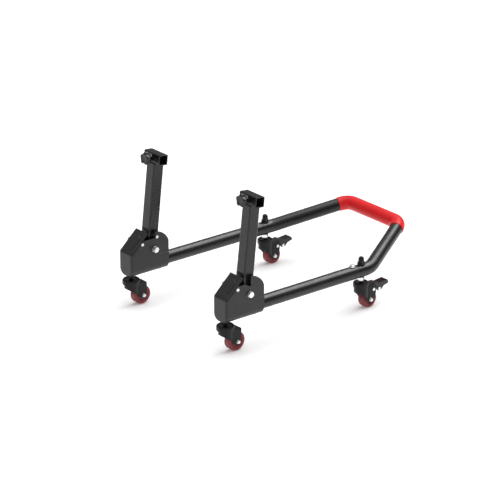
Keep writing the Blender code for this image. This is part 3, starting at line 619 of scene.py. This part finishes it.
def swept(shaped, inner, sides=64):
    """A hollow round tube through stations of (point, direction, radius)."""
    bm = bmesh.new()
    up = Vector((0, 0, 1))
    direction = shaped[0][1]
    rings = []
    for point, heading, outer in shaped:
        up = direction.rotation_difference(heading) @ up
        direction = heading
        side = heading.cross(up).normalized()
        up = side.cross(heading).normalized()
        pair = []
        for radius in (outer, inner):
            turns = [2 * pi * i / sides for i in range(sides)]
            pair.append([bm.verts.new(point + radius * (side * cos(t) + up * sin(t))) for t in turns])
        rings.append(pair)
    for here, ahead in zip(rings, rings[1:]):
        bridge(bm, here[0], ahead[0])
        bridge(bm, here[1], ahead[1])
    bridge(bm, rings[0][0], rings[0][1])
    bridge(bm, rings[-1][0], rings[-1][1])
    return bm


def handle_bends():
    """The two right-hand corners of the handle tube."""
    grip_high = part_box("grip_sleeve")[1]
    reach = TUBE_RADIUS + GAP + GRIP_WALL
    first = Vector((ARM_X, FIRST_BEND_Y, TUBE_Z))
    second = Vector((HANDLE_BEND_X, grip_high.y - reach, grip_high.z - reach))
    return first, second


def mirrored(point):
    return Vector((-point.x, point.y, point.z))


def make_tubes():
    inner = TUBE_RADIUS - TUBE_WALL
    for label, side in SIDES:
        run = [(Vector((0, y, 0)), Vector((0, 1, 0))) for y in (ARM_FRONT_Y, SEAM_Y)]
        place = at((side * ARM_X, 0, TUBE_Z))
        stand_for("arm_tube_" + label, swept(round_ends(run, TUBE_RADIUS, TUBE_LIP), inner), place)
    first, second = handle_bends()
    start = Vector((ARM_X, SEAM_Y + GAP, TUBE_Z))
    right = [start, first, second]
    corners = right + [mirrored(p) for p in reversed(right)]
    radii = [FIRST_BEND_RADIUS, HANDLE_BEND_RADIUS, HANDLE_BEND_RADIUS, FIRST_BEND_RADIUS]
    stations = bent_path(corners, radii, 16)
    stand_for("handle_tube", swept(round_ends(stations, TUBE_RADIUS, TUBE_LIP), inner))


def make_grip():
    first, second = handle_bends()
    start = second + (first - second).normalized() * GRIP_PAST_BEND
    corners = [start, second, mirrored(second), mirrored(start)]
    stations = bent_path(corners, [HANDLE_BEND_RADIUS] * 2, 20)
    inner = TUBE_RADIUS + GAP / 2
    shaped = round_ends(stations, TUBE_RADIUS + GAP + GRIP_WALL, GRIP_LIP, 4)
    stand_for("grip_sleeve", swept(shaped, inner), sharp=60)


# ---------------------------------------------------------------- housings

def slope_run():
    return Vector((SLOPE_END[0] - NOSE_Y, SLOPE_END[1] - NOSE_TOP_Z))


def housing_solid(inset, rear, top):
    """The housing's closed outer shape, or its hollow when inset by the plate thickness.

    Without a top the roof is the slope's end and the round lobe; with one it is flat at that height.
    """
    run = slope_run().normalized()
    base = Vector((NOSE_Y, NOSE_TOP_Z)) + Vector((run.y, -run.x)) * inset
    front = NOSE_Y + inset
    corner_z = base.y + (front - base.x) * run.y / run.x
    bottom = TROUGH_Z + inset
    if top is None:
        angle = atan2(sqrt(LOBE_RADIUS**2 - LOBE_FRONT_Y**2), LOBE_FRONT_Y)
        last = atan2(sqrt(LOBE_RADIUS**2 - rear**2), rear)
        squared = Vector(SLOPE_END) + Vector((run.y, -run.x)) * (PLATE + TONGUE_DROP)
        roof = [SLOPE_END, tuple(squared)] + arc((0, 0), LOBE_RADIUS, angle, last, 28)
    else:
        reach = (top - base.y) / run.y
        roof = [(base.x + run.x * reach, top), (rear, top)]
    outline = [(front, bottom), (front, corner_z)] + roof + [(rear, bottom)]
    half = HOUSING_HALF - inset
    bm = prism(outline, -half, half, "X")
    face_outwards(bm)
    round_trough(bm, bottom, TROUGH_RADIUS - inset)
    round_nose(bm, FOLD_RADIUS - inset)
    return bm


def round_trough(bm, bottom, radius):
    """Round the long bottom edges, where the plate is folded under the tube."""
    edges = []
    for edge in bm.edges:
        a, b = (v.co for v in edge.verts)
        low = abs(a.z - bottom) < SAME_LEVEL and abs(b.z - bottom) < SAME_LEVEL
        if low and abs(a.x - b.x) < SAME_LEVEL:
            edges.append(edge)
    bmesh.ops.bevel(bm, geom=edges, offset=radius, segments=12, profile=0.5, affect="EDGES")


def round_nose(bm, radius):
    """Round the edges of the front face and the fold between it and the slope."""
    edges = []
    for edge in bm.edges:
        normals = [face.normal for face in edge.link_faces]
        facing = [n for n in normals if n.y < -0.5]
        if len(facing) == 1 and any(abs(n.x) > 0.05 or n.z < -0.5 for n in normals):
            edges.append(edge)
        elif len(facing) == 2 and abs(facing[0].z - facing[1].z) > 0.1:
            edges.append(edge)
    bmesh.ops.bevel(bm, geom=edges, offset=radius, segments=6, profile=0.5, affect="EDGES")


def notch_tool(floor, side):
    """The open corner in one side plate between the slope and the rounded lobe."""
    run = slope_run().normalized()
    base = Vector((NOSE_Y, NOSE_TOP_Z)) + Vector((run.y, -run.x)) * (PLATE + GAP)
    low = base + run * (floor[0][1] - base.y) / run.y
    high = base + run * (LOBE_RADIUS + 0.02 - base.y) / run.y
    corners = [(low.x, low.y, 0.0015), *floor, (floor[-1][0], high.y, 0), (high.x, high.y, 0)]
    ends = sorted((0.0, side * (HOUSING_HALF + CUTTER_MARGIN)))
    return prism(fillet(corners), *ends, "X")


def emboss():
    """The raised oval on the slope, with a rolled edge. A layer is its growth and its height."""
    run = slope_run()
    centre = Vector((NOSE_Y, NOSE_TOP_Z)) + run * 0.5
    width, length = EMBOSS_SIZE
    straight = (length - width) / 2
    layers = ((0.0, -PLATE / 2), (0.0, 0.0), (-0.0006, 0.0014), (-0.0012, 0.0020), (-0.0024, 0.0024))
    bm = bmesh.new()
    rings = []
    for grow, height in layers:
        radius = width / 2 + grow
        outline = arc((0, straight), radius, 0, pi, 24)
        outline += arc((0, -straight), radius, pi, 2 * pi, 24)
        rings.append([bm.verts.new((a, b, height)) for a, b in outline])
    bm.faces.new(rings[0])
    bm.faces.new(rings[-1])
    for first, second in zip(rings, rings[1:]):
        bridge(bm, first, second)
    tilt = atan2(run.y, run.x)
    bmesh.ops.rotate(bm, verts=bm.verts, cent=(0, 0, 0), matrix=Matrix.Rotation(tilt, 3, "X"))
    bmesh.ops.translate(bm, verts=bm.verts, vec=(0, centre.x, centre.y))
    return bm


def swage(side):
    """The pressed bulge on a side plate that widens towards the rear, over the tube."""
    face = side * HOUSING_HALF
    sunk = side * (HOUSING_HALF - PLATE / 2)
    proud = side * (HOUSING_HALF + SWAGE_HEIGHT)
    low = TROUGH_Z + TROUGH_RADIUS + 0.001
    rear = HOUSING_REAR_Y - 0.0002
    front = SWAGE_FRONT_Y
    top = SWAGE_Z
    lip = SWAGE_LIP
    points = [
        (sunk, front, top), (sunk, rear, top), (sunk, rear, low), (sunk, front, low),
        (proud, rear, top - lip), (proud, rear, low + lip * 2),
        (face, front, top), (face, rear, top), (face, rear, low), (face, front, low),
    ]
    bm = bmesh.new()
    v = [bm.verts.new(p) for p in points]
    for loop in ((0, 1, 2, 3), (0, 6, 7, 1), (1, 7, 4, 5, 8, 2), (2, 8, 9, 3), (3, 9, 6, 0), (6, 4, 7)):
        bm.faces.new([v[i] for i in loop])
    for loop in ((6, 9, 5), (6, 5, 4), (9, 8, 5)):
        bm.faces.new([v[i] for i in loop])
    return bm


def make_housing(label, side):
    place = at((side * ARM_X, PIVOT.y, PIVOT.z))
    shell = plain_object("housing_" + label + "_look", housing_solid(0.0, HOUSING_REAR_Y, None), place)
    cut(shell, [tool(emboss(), place), tool(swage(1), place), tool(swage(-1), place)], "UNION")
    hollow = housing_solid(PLATE, HOUSING_REAR_Y + 0.02, LOBE_RADIUS + 0.02)
    notches = [notch_tool(OUTER_NOTCH, side), notch_tool(INNER_NOTCH, -side)]
    cut(shell, [tool(shape, place) for shape in [hollow] + notches])
    show(shell, "housing_" + label, edge=PRESSED_EDGE, angle=50)
    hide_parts("housing_" + label)


def make_pivot(label, side):
    """The post's bolt from the outer side, and its nut and thread end on the inner side."""
    reach = HOUSING_HALF + GAP
    head_place = aimed((side * (ARM_X + reach), PIVOT.y, PIVOT.z), (side, 0, 0))
    nut_place = aimed((side * (ARM_X - reach), PIVOT.y, PIVOT.z), (-side, 0, 0))
    stand_for("pivot_bolt_" + label, bolt(**PIVOT_BOLT), head_place, edge=0.0002)
    stand_for("pivot_nut_" + label, open_nut(**PIVOT_NUT), nut_place)
    radius = PIVOT_BOLT["shank"] - 0.0001
    end = [(0, -0.002), (radius, -0.002)] + threads(radius, 0.0, THREAD_END) + [(0, THREAD_END)]
    trim("pivot_thread_" + label, "pivot_bolt_" + label, stack(end), nut_place)


def make_small_bolts(label, side):
    """The tie bolt through the nose, the lock bolt beside the post and the bolt under the tube."""
    reach = HOUSING_HALF + GAP
    outer = side * (ARM_X + reach)
    inner = side * (ARM_X - reach)
    outward = (side, 0, 0)
    inward = (-side, 0, 0)
    tie_y = PIVOT.y + TIE_BOLT_AT[0]
    tie_z = PIVOT.z + TIE_BOLT_AT[1]
    head_place = aimed((outer, tie_y, tie_z), outward)
    nut_place = aimed((inner, tie_y, tie_z), inward)
    stand_for("tie_bolt_" + label, bolt(**TIE_BOLT), head_place, edge=BOLT_EDGE)
    trim("tie_nut_" + label, "tie_bolt_" + label, bolt(**TIE_NUT), nut_place, edge=BOLT_EDGE)

    lock_place = aimed((inner, PIVOT.y + LOCK_BOLT_AT[0], PIVOT.z + LOCK_BOLT_AT[1]), inward)
    stand_for("lock_bolt_" + label, bolt(**LOCK_BOLT), lock_place, edge=BOLT_EDGE)

    bottom = PIVOT.z + TROUGH_Z - GAP
    under = aimed((side * ARM_X, PIVOT.y + TUBE_BOLT_Y, bottom), (0, 0, -1))
    stand_for("tube_bolt_" + label, bolt(**TUBE_BOLT), under, edge=BOLT_EDGE)


def make_joint_bolt(label, side):
    place = at((side * ARM_X, JOINT_BOLT_Y, TUBE_Z + TUBE_RADIUS))
    stand_for("joint_bolt_" + label, bolt(**JOINT_BOLT), place, edge=BOLT_EDGE)


# ---------------------------------------------------------------- lifting posts

def square(side_length, radius):
    half = side_length / 2
    signs = ((1, 1), (-1, 1), (-1, -1), (1, -1))
    return fillet([(a * half, b * half, radius) for a, b in signs], 8)


def weld_bead(length, radius, beads):
    """A fillet weld along X, laid as a row of overlapping ripples."""
    bm = bmesh.new()
    rows = []
    steps = beads * 6
    for i in range(steps + 1):
        along = i / steps
        ripple = abs(sin(pi * along * beads))
        taper = min(1.0, 8 * min(along, 1 - along) + 0.15)
        grow = radius * (0.82 + 0.18 * ripple) * taper
        x = length * (along - 0.5)
        turns = [2 * pi * k / 12 for k in range(12)]
        rows.append([bm.verts.new((x, grow * cos(t), grow * sin(t))) for t in turns])
    for first, second in zip(rows, rows[1:]):
        bridge(bm, first, second)
    bm.faces.new(rows[0])
    bm.faces.new(rows[-1])
    return bm


def make_post(label, side):
    x = side * ARM_X
    place = at((x, PIVOT.y, PIVOT.z), -POST_LEAN)
    outer = square(POST_SIDE, 0.004)
    inner = square(POST_SIDE - 2 * POST_WALL, 0.0015)
    shape = tube_prism(outer, inner, POST_FOOT, POST_TOP)
    stand_for("post_" + label, shape, place, edge=STOCK_EDGE, angle=60)

    middle = POST_TOP + GAP + RECEIVER_SIDE / 2
    outer = square(RECEIVER_SIDE, 0.0035)
    inner = square(RECEIVER_SIDE - 2 * RECEIVER_WALL, 0.0012)
    shape = tube_prism(outer, inner, -RECEIVER_HALF, RECEIVER_HALF, "X")
    receiver_place = place @ Matrix.Translation((0, 0, middle))
    stand_for("receiver_" + label, shape, receiver_place, edge=STOCK_EDGE, angle=60)
    for end, way in (("front", -1), ("back", 1)):
        spot = place @ Matrix.Translation((0, way * (RECEIVER_SIDE / 2 + 0.0002), POST_TOP + 0.0006))
        trim(f"receiver_weld_{end}_{label}", "post_" + label, weld_bead(POST_SIDE - 0.004, 0.0021, 9), spot)


def knob_solid():
    """A star knob about Z, its grip above 0, with rounded lobes and a dished face.

    A layer is its share of the knob's radius, the depth of its waves and its height.
    """
    layers = [
        (0.36, 0.00, 0.0), (0.42, 0.0, 0.0004), (0.80, 0.05, 0.0018), (0.93, 0.10, 0.0026),
        (0.985, 0.125, 0.0040), (1.0, 0.13, 0.0060), (1.0, 0.13, 0.0102), (0.985, 0.125, 0.0122),
        (0.93, 0.11, 0.0138), (0.84, 0.08, 0.0147), (0.70, 0.04, 0.0150), (0.52, 0.0, 0.0149),
        (0.46, 0.0, 0.0143), (0.40, 0.0, 0.0141),
    ]
    rings = [(0, 0.0)]
    for scale, wave, height in layers:
        rings.append(lobed(scale, wave, height))
    rings.append((0, 0.0141))
    return stack(rings, KNOB_LOBES * 20)


def lobed(scale, wave, height):
    def ring(angle):
        return KNOB_RADIUS * scale * (1 - wave * (1 - cos(KNOB_LOBES * angle))), height
    return ring


def make_clamp(label, side):
    centre = Vector((side * CLAMP_AT.x, CLAMP_AT.y, CLAMP_AT.z))
    outward = -CLAMP_AXIS
    face = RECEIVER_SIDE / 2 + GAP
    stand_for("clamp_nut_" + label, open_nut(**CLAMP_NUT), aimed(centre + outward * face, outward))
    back = RECEIVER_SIDE / 2 + KNOB_OFF_FACE
    place = aimed(centre + outward * back, outward)
    up = Matrix.Rotation(pi / 2, 4, "Z")
    stand_for("knob_" + label, knob_solid(), place @ up, sharp=60)
    length = back - pad_reach()
    screw = [(0, -length), (0.0034, -length)] + threads(0.0040, -length + 0.0006, -0.0002) + [(0, -0.0002)]
    trim("clamp_screw_" + label, "knob_" + label, stack(screw), place)


def pad_reach():
    """How far the pad's outer face lies from the receiver's centre, along the clamp axis."""
    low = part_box("clamp_pad_right")[0]
    return abs(low.y - CLAMP_AT.y)


# ---------------------------------------------------------------- casters

def fork_plan(radius, half, rear):
    turn = atan2(sqrt(radius**2 - half**2), half)
    return arc((0, 0), radius, pi - turn, 2 * pi + turn, 28) + [(half, rear), (-half, rear)]


def fork_side_view(trail, wheel_radius, braked):
    """Side view of a fork about the swivel axis."""
    axle_end = wheel_radius - FORK_BELOW_AXLE
    rear_end = min(trail + FORK_PAST_AXLE, FORK_REAR_Y - 0.003)
    return fillet([
        (-FORK_FRONT_RADIUS - 0.002, FORK_TOP_Z + 0.001, 0.0),
        (-FORK_FRONT_RADIUS - 0.002, 0.0560, 0.002),
        (trail - 0.0205, 0.0345, 0.006),
        (trail - 0.0130, axle_end + 0.0045, 0.004),
        (trail - 0.0070, axle_end, 0.005),
        (rear_end, axle_end, 0.008),
        (FORK_REAR_Y, 0.0440, 0.004 if braked else 0.010),
        (FORK_REAR_Y, FORK_TOP_Z + 0.001, 0.0),
    ])


def fold_top(bm, level, radius):
    """Round the top outline of a pressed piece, as its fold does."""
    edges = []
    for edge in bm.edges:
        if all(abs(v.co.z - level) < SAME_LEVEL for v in edge.verts):
            edges.append(edge)
    bmesh.ops.bevel(bm, geom=edges, offset=radius, segments=4, profile=0.5, affect="EDGES")


def make_fork(tag, x, y, wheel, braked):
    place = at((x, y, 0))
    body = prism(fork_plan(FORK_FRONT_RADIUS, FORK_HALF, FORK_REAR_Y), 0.010, FORK_TOP_Z)
    fold_top(body, FORK_TOP_Z, FORK_FOLD)
    fork = plain_object("fork_" + tag + "_look", body, place)
    wide = FORK_FRONT_RADIUS + CUTTER_MARGIN
    side_view = fork_side_view(wheel.y - y, wheel.z, braked)
    cut(fork, [tool(prism(side_view, -wide, wide, "X"), place)], "INTERSECT")
    inner = fork_plan(FORK_FRONT_RADIUS - FORK_PLATE, FORK_HALF - FORK_PLATE, FORK_REAR_Y + CUTTER_MARGIN)
    tools = [tool(prism(inner, 0.0, FORK_TOP_Z - FORK_PLATE), place)]
    if braked:
        half = FORK_HALF - FORK_PLATE
        near, far = BRAKE_WINDOW_Y
        window = [(-half, near), (half, near), (half, far), (-half, far)]
        tools.append(tool(prism(window, FORK_TOP_Z - 0.006, FORK_TOP_Z + CUTTER_MARGIN), place))
    cut(fork, tools)
    show(fork, "fork_" + tag, edge=STOCK_EDGE, angle=50)
    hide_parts("fork_" + tag)


def make_caster_head(tag, x, y):
    """Pressed bearing cap with a rolled rim and a dished top, and the threaded stem above it."""
    low = HEAD_BOTTOM_Z
    top = HEAD_TOP_Z
    rim = size_of("caster_head_" + tag).x / 2
    stem_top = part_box("caster_head_" + tag)[1].z
    pin_end = FORK_TOP_Z - FORK_PLATE - PIN_HEIGHT
    under = FORK_TOP_Z - FORK_PLATE - GAP
    rings = [
        (0, pin_end), (PIN_RADIUS - 0.0005, pin_end), (PIN_RADIUS, pin_end + 0.0005), (PIN_RADIUS, under),
        (STEM_RADIUS, under), (STEM_RADIUS, low), (rim - 0.0012, low), (rim - 0.0003, low + 0.0004),
        (rim, low + 0.0014), (rim, low + 0.0034), (rim - 0.0007, low + 0.0040),
        (rim - 0.0007, low + 0.0050), (rim - 0.0002, low + 0.0056),
        (rim - 0.0003, top - 0.0040), (rim - 0.0010, top - 0.0020),
        (rim - 0.0025, top - 0.0006), (rim - 0.0045, top), (rim - 0.0062, top - 0.0001),
        (rim - 0.0075, top - 0.0010), (rim - 0.0085, top - 0.0022),
        (STEM_RADIUS + 0.0012, top - 0.0022), (STEM_RADIUS, top - 0.0012),
    ]
    rings += threads(STEM_RADIUS, top - 0.0008, stem_top, 0.0015) + [(0, stem_top)]
    stand_for("caster_head_" + tag, stack(rings, 64), at((x, y, 0)), sharp=45)


def make_wheel(tag, spot):
    """Moulded wheel: crowned tread with round shoulders, a recessed web and a hub."""
    tread = spot.z
    shoulder = 0.0030
    side = WHEEL_HALF - 0.0010
    half = [(0.0044, HUB_HALF), (0.0070, HUB_HALF), (0.0075, HUB_HALF - 0.0005)]
    half += [(0.0078, WEB_HALF + 0.0008), (0.0088, WEB_HALF)]
    half += [(tread - 0.0110, WEB_HALF), (tread - 0.0100, WEB_HALF + 0.0008), (tread - 0.0093, side)]
    half += [(tread - 0.0085, side + 0.0006)]
    half += arc((tread - shoulder, side + 0.0006 - shoulder), shoulder, pi / 2, 0, 6)
    half += [(tread, 0.0040)]
    rings = half + [(r, -h) for r, h in reversed(half)]
    stand_for("wheel_" + tag, stack(rings, 96, closed=True), aimed(spot, (1, 0, 0)), sharp=50)


def make_axle(tag, spot):
    head_place = aimed((spot.x + FORK_HALF, spot.y, spot.z), (1, 0, 0))
    nut_place = aimed((spot.x - FORK_HALF, spot.y, spot.z), (-1, 0, 0))
    stand_for("axle_bolt_" + tag, bolt(**AXLE_BOLT), head_place, edge=BOLT_EDGE)
    trim("axle_nut_" + tag, "axle_bolt_" + tag, bolt(**AXLE_NUT), nut_place, edge=BOLT_EDGE)


def pedal_side_view():
    """Side view of the brake pedal about its pin."""
    return fillet([
        (-0.0072, -0.0026, 0.002), (-0.0072, 0.0100, 0.003), (0.0080, 0.0150, 0.005),
        (0.0175, 0.0150, 0.005), (0.0255, 0.0105, 0.005), (0.0565, 0.0135, 0.001),
        (0.0600, 0.0040, 0.002), (0.0420, -0.0010, 0.004), (0.0340, -0.0100, 0.006),
        (0.0200, -0.0105, 0.006), (0.0120, -0.0026, 0.004),
    ])


def pedal_hollow():
    heel = -0.0072 + PEDAL_PLATE
    top = 0.0150 - PEDAL_PLATE
    tip = 0.0570 - PEDAL_PLATE
    return fillet([
        (heel, -0.02, 0), (heel, 0.0080, 0.002), (0.0090, top, 0.004), (0.0165, top, 0.004),
        (0.0255, 0.0105 - PEDAL_PLATE, 0.004), (tip, 0.0128 - PEDAL_PLATE, 0), (tip, -0.02, 0),
    ])


def pedal_rib(along):
    """A low rib across the pedal's tread, at a distance from its pin."""
    height = 0.0105 + (along - 0.0255) * 0.003 / 0.031
    foot = 0.0010
    crest = 0.0006
    corners = [(along - foot, height - 0.001, 0), (along + foot, height - 0.001, 0)]
    corners += [(along + crest, height + 0.0008, 0.0003), (along - crest, height + 0.0008, 0.0003)]
    half = PEDAL_HALF - 0.0025
    return prism(fillet(corners, 3), -half, half, "X")


def make_pedal(label, side):
    x = side * ARM_X
    node = "brake_pedal_" + label
    place = at((x, PEDAL_PIN.y, PEDAL_PIN.z))
    pedal = plain_object(node + "_look", prism(pedal_side_view(), -PEDAL_HALF, PEDAL_HALF, "X"), place)
    half = PEDAL_HALF - PEDAL_PLATE
    cut(pedal, [tool(prism(pedal_hollow(), -half, half, "X"), place)])
    show(pedal, node, edge=0.0007, angle=40, segments=3)
    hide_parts(node)
    for i in range(PEDAL_RIBS):
        trim(f"pedal_rib_{i}_{label}", node, pedal_rib(FIRST_RIB + RIB_SPACING * i), place)
    make_pedal_rivets(label, node, x)
    make_pedal_pin(label, x)


def make_pedal_rivets(label, node, x):
    """The rivets behind the pin, which ride with the pedal."""
    like = "pedal_pin_" + label
    for end, way in (("outer", 1), ("inner", -1)):
        face = x + way * (PEDAL_HALF - 0.0002)
        spot = (face, PEDAL_PIN.y + RIVET_FROM_PIN[0], PEDAL_PIN.z + RIVET_FROM_PIN[1])
        rivet = bolt(**PEDAL_RIVET)
        trim(f"pedal_rivet_{end}_{label}", like, rivet, aimed(spot, (way, 0, 0)), body=BODY_OF[node])


def make_pedal_pin(label, x):
    reach = FORK_HALF + GAP
    node = "pedal_pin_" + label
    head_place = aimed((x + reach, PEDAL_PIN.y, PEDAL_PIN.z), (1, 0, 0))
    end_place = aimed((x - reach, PEDAL_PIN.y, PEDAL_PIN.z), (-1, 0, 0))
    stand_for(node, bolt(**PEDAL_BOLT), head_place, edge=BOLT_EDGE)
    trim("pedal_pin_nut_" + label, node, bolt(**PEDAL_BOLT), end_place, edge=BOLT_EDGE)


def make_seat_nut(tag, x, y):
    low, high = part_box("seat_nut_" + tag)
    nut = open_nut(STEM_RADIUS + 0.0002, SEAT_NUT_FLATS, high.z - low.z)
    stand_for("seat_nut_" + tag, nut, aimed((x, y, high.z), (0, 0, -1)))


def make_dome_nut(label, side):
    """A flanged dome nut over the rear stem."""
    low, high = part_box("dome_nut_" + label)
    height = high.z - low.z
    rim = DOME_FLANGE
    rings = [(0, 0.002), (0.0054, 0.002), (0.0054, 0), (rim - 0.0006, 0), (rim, 0.0006), (rim, 0.0016)]
    rings += [(rim - 0.0006, 0.0022), hexagon(DOME_FLATS, 0.0022), hexagon(DOME_FLATS, 0.0082, 1)]
    rings += [(DOME_FLATS - 0.0005, 0.0082), (DOME_RADIUS + 0.0004, 0.0086), (DOME_RADIUS, 0.0092)]
    rings += arc((0, height - DOME_RADIUS), DOME_RADIUS, 0, pi / 2, 12)[:-1] + [(0, height)]
    stand_for("dome_nut_" + label, stack(rings, 72), at((side * ARM_X, STEM_Y["rear"], low.z)))


def make_casters():
    for label, side in SIDES:
        x = side * ARM_X
        for end in ("front", "rear"):
            tag = end + "_" + label
            y = STEM_Y[end]
            wheel = Vector((x, WHEEL_AT[end].y, WHEEL_AT[end].z))
            make_fork(tag, x, y, wheel, end == "rear")
            make_caster_head(tag, x, y)
            make_wheel(tag, wheel)
            make_axle(tag, wheel)
            make_seat_nut(tag, x, y)
        make_pedal(label, side)
        make_dome_nut(label, side)


def coat_kept_nodes():
    """Give the CAD nodes that still show the same procedural materials."""
    for node, obj in frame["nodes"].items():
        for place in obj.material_slots:
            place.material = MATERIALS[SLOT_OF[node]]


# ---------------------------------------------------------------- studio

def make_floor():
    bm = bmesh.new()
    bmesh.ops.create_grid(bm, x_segments=4, y_segments=4, size=14)
    mesh = bpy.data.meshes.new("studio_floor")
    bm.to_mesh(mesh)
    bm.free()
    floor = bpy.data.objects.new("studio_floor", mesh)
    floor.location = (0, 0, -0.0002)
    made, tree, shader = nodes_of("pale_floor")
    shader.inputs["Roughness"].default_value = 0.55
    shader.inputs["Specular IOR Level"].default_value = 0.25
    shader.inputs["Emission Color"].default_value = (1.0, 1.0, 1.0, 1.0)
    shader.inputs["Emission Strength"].default_value = 0.15
    tree.links.new(two_colours(tree, noise(tree, 1.5), (0.94, 0.94, 0.94), (0.96, 0.96, 0.96)),
                   shader.inputs["Base Color"])
    mesh.materials.append(made)
    bpy.context.scene.collection.objects.link(floor)


def softbox(name, direction, distance, width, height, radiance):
    """A rectangular area light that faces the stand from a direction."""
    light = bpy.data.lights.new(name, "AREA")
    light.shape = "RECTANGLE"
    light.size = width
    light.size_y = height
    light.energy = radiance * width * height * pi
    obj = bpy.data.objects.new(name, light)
    way = Vector(direction).normalized()
    obj.location = Vector(LIGHT_TARGET) + way * distance
    obj.rotation_euler = way.to_track_quat("Z", "Y").to_euler()
    bpy.context.scene.collection.objects.link(obj)


def make_world():
    """White overhead, grey towards the horizon, so that dark metal keeps its shape."""
    world = bpy.data.worlds.new("studio")
    world.use_nodes = True
    tree = world.node_tree
    background = tree.nodes["Background"]
    where = tree.nodes.new("ShaderNodeTexCoord")
    parts = tree.nodes.new("ShaderNodeSeparateXYZ")
    tree.links.new(where.outputs["Generated"], parts.inputs["Vector"])
    ramp = tree.nodes.new("ShaderNodeValToRGB")
    stops = ramp.color_ramp.elements
    stops[0].position = 0.0
    stops[0].color = (0.12, 0.12, 0.125, 1)
    stops[1].position = 1.0
    stops[1].color = (0.70, 0.70, 0.70, 1)
    middle = stops.new(0.35)
    middle.color = (0.30, 0.30, 0.31, 1)
    tree.links.new(parts.outputs["Z"], ramp.inputs["Fac"])
    tree.links.new(ramp.outputs["Color"], background.inputs["Color"])
    background.inputs["Strength"].default_value = 1.0
    bpy.context.scene.world = world


def make_camera():
    level = cos(CAMERA_ELEVATION)
    way = Vector((sin(CAMERA_AZIMUTH) * level, -cos(CAMERA_AZIMUTH) * level, sin(CAMERA_ELEVATION)))
    lens = bpy.data.cameras.new("camera")
    lens.sensor_width = 36
    lens.lens = CAMERA_LENS
    lens.clip_end = 100
    camera = bpy.data.objects.new("camera", lens)
    camera.location = Vector(CAMERA_TARGET) + way * CAMERA_DISTANCE
    camera.rotation_euler = way.to_track_quat("Z", "Y").to_euler()
    bpy.context.scene.collection.objects.link(camera)
    bpy.context.scene.camera = camera


def make_studio():
    make_floor()
    make_world()
    for light in SOFTBOXES:
        softbox(*light)
    make_camera()
    bpy.context.scene.view_settings.view_transform = "Standard"


make_tubes()
make_grip()
for side_label, side_sign in SIDES:
    make_housing(side_label, side_sign)
    make_pivot(side_label, side_sign)
    make_small_bolts(side_label, side_sign)
    make_joint_bolt(side_label, side_sign)
    make_post(side_label, side_sign)
    make_clamp(side_label, side_sign)
make_casters()
coat_kept_nodes()
make_studio()
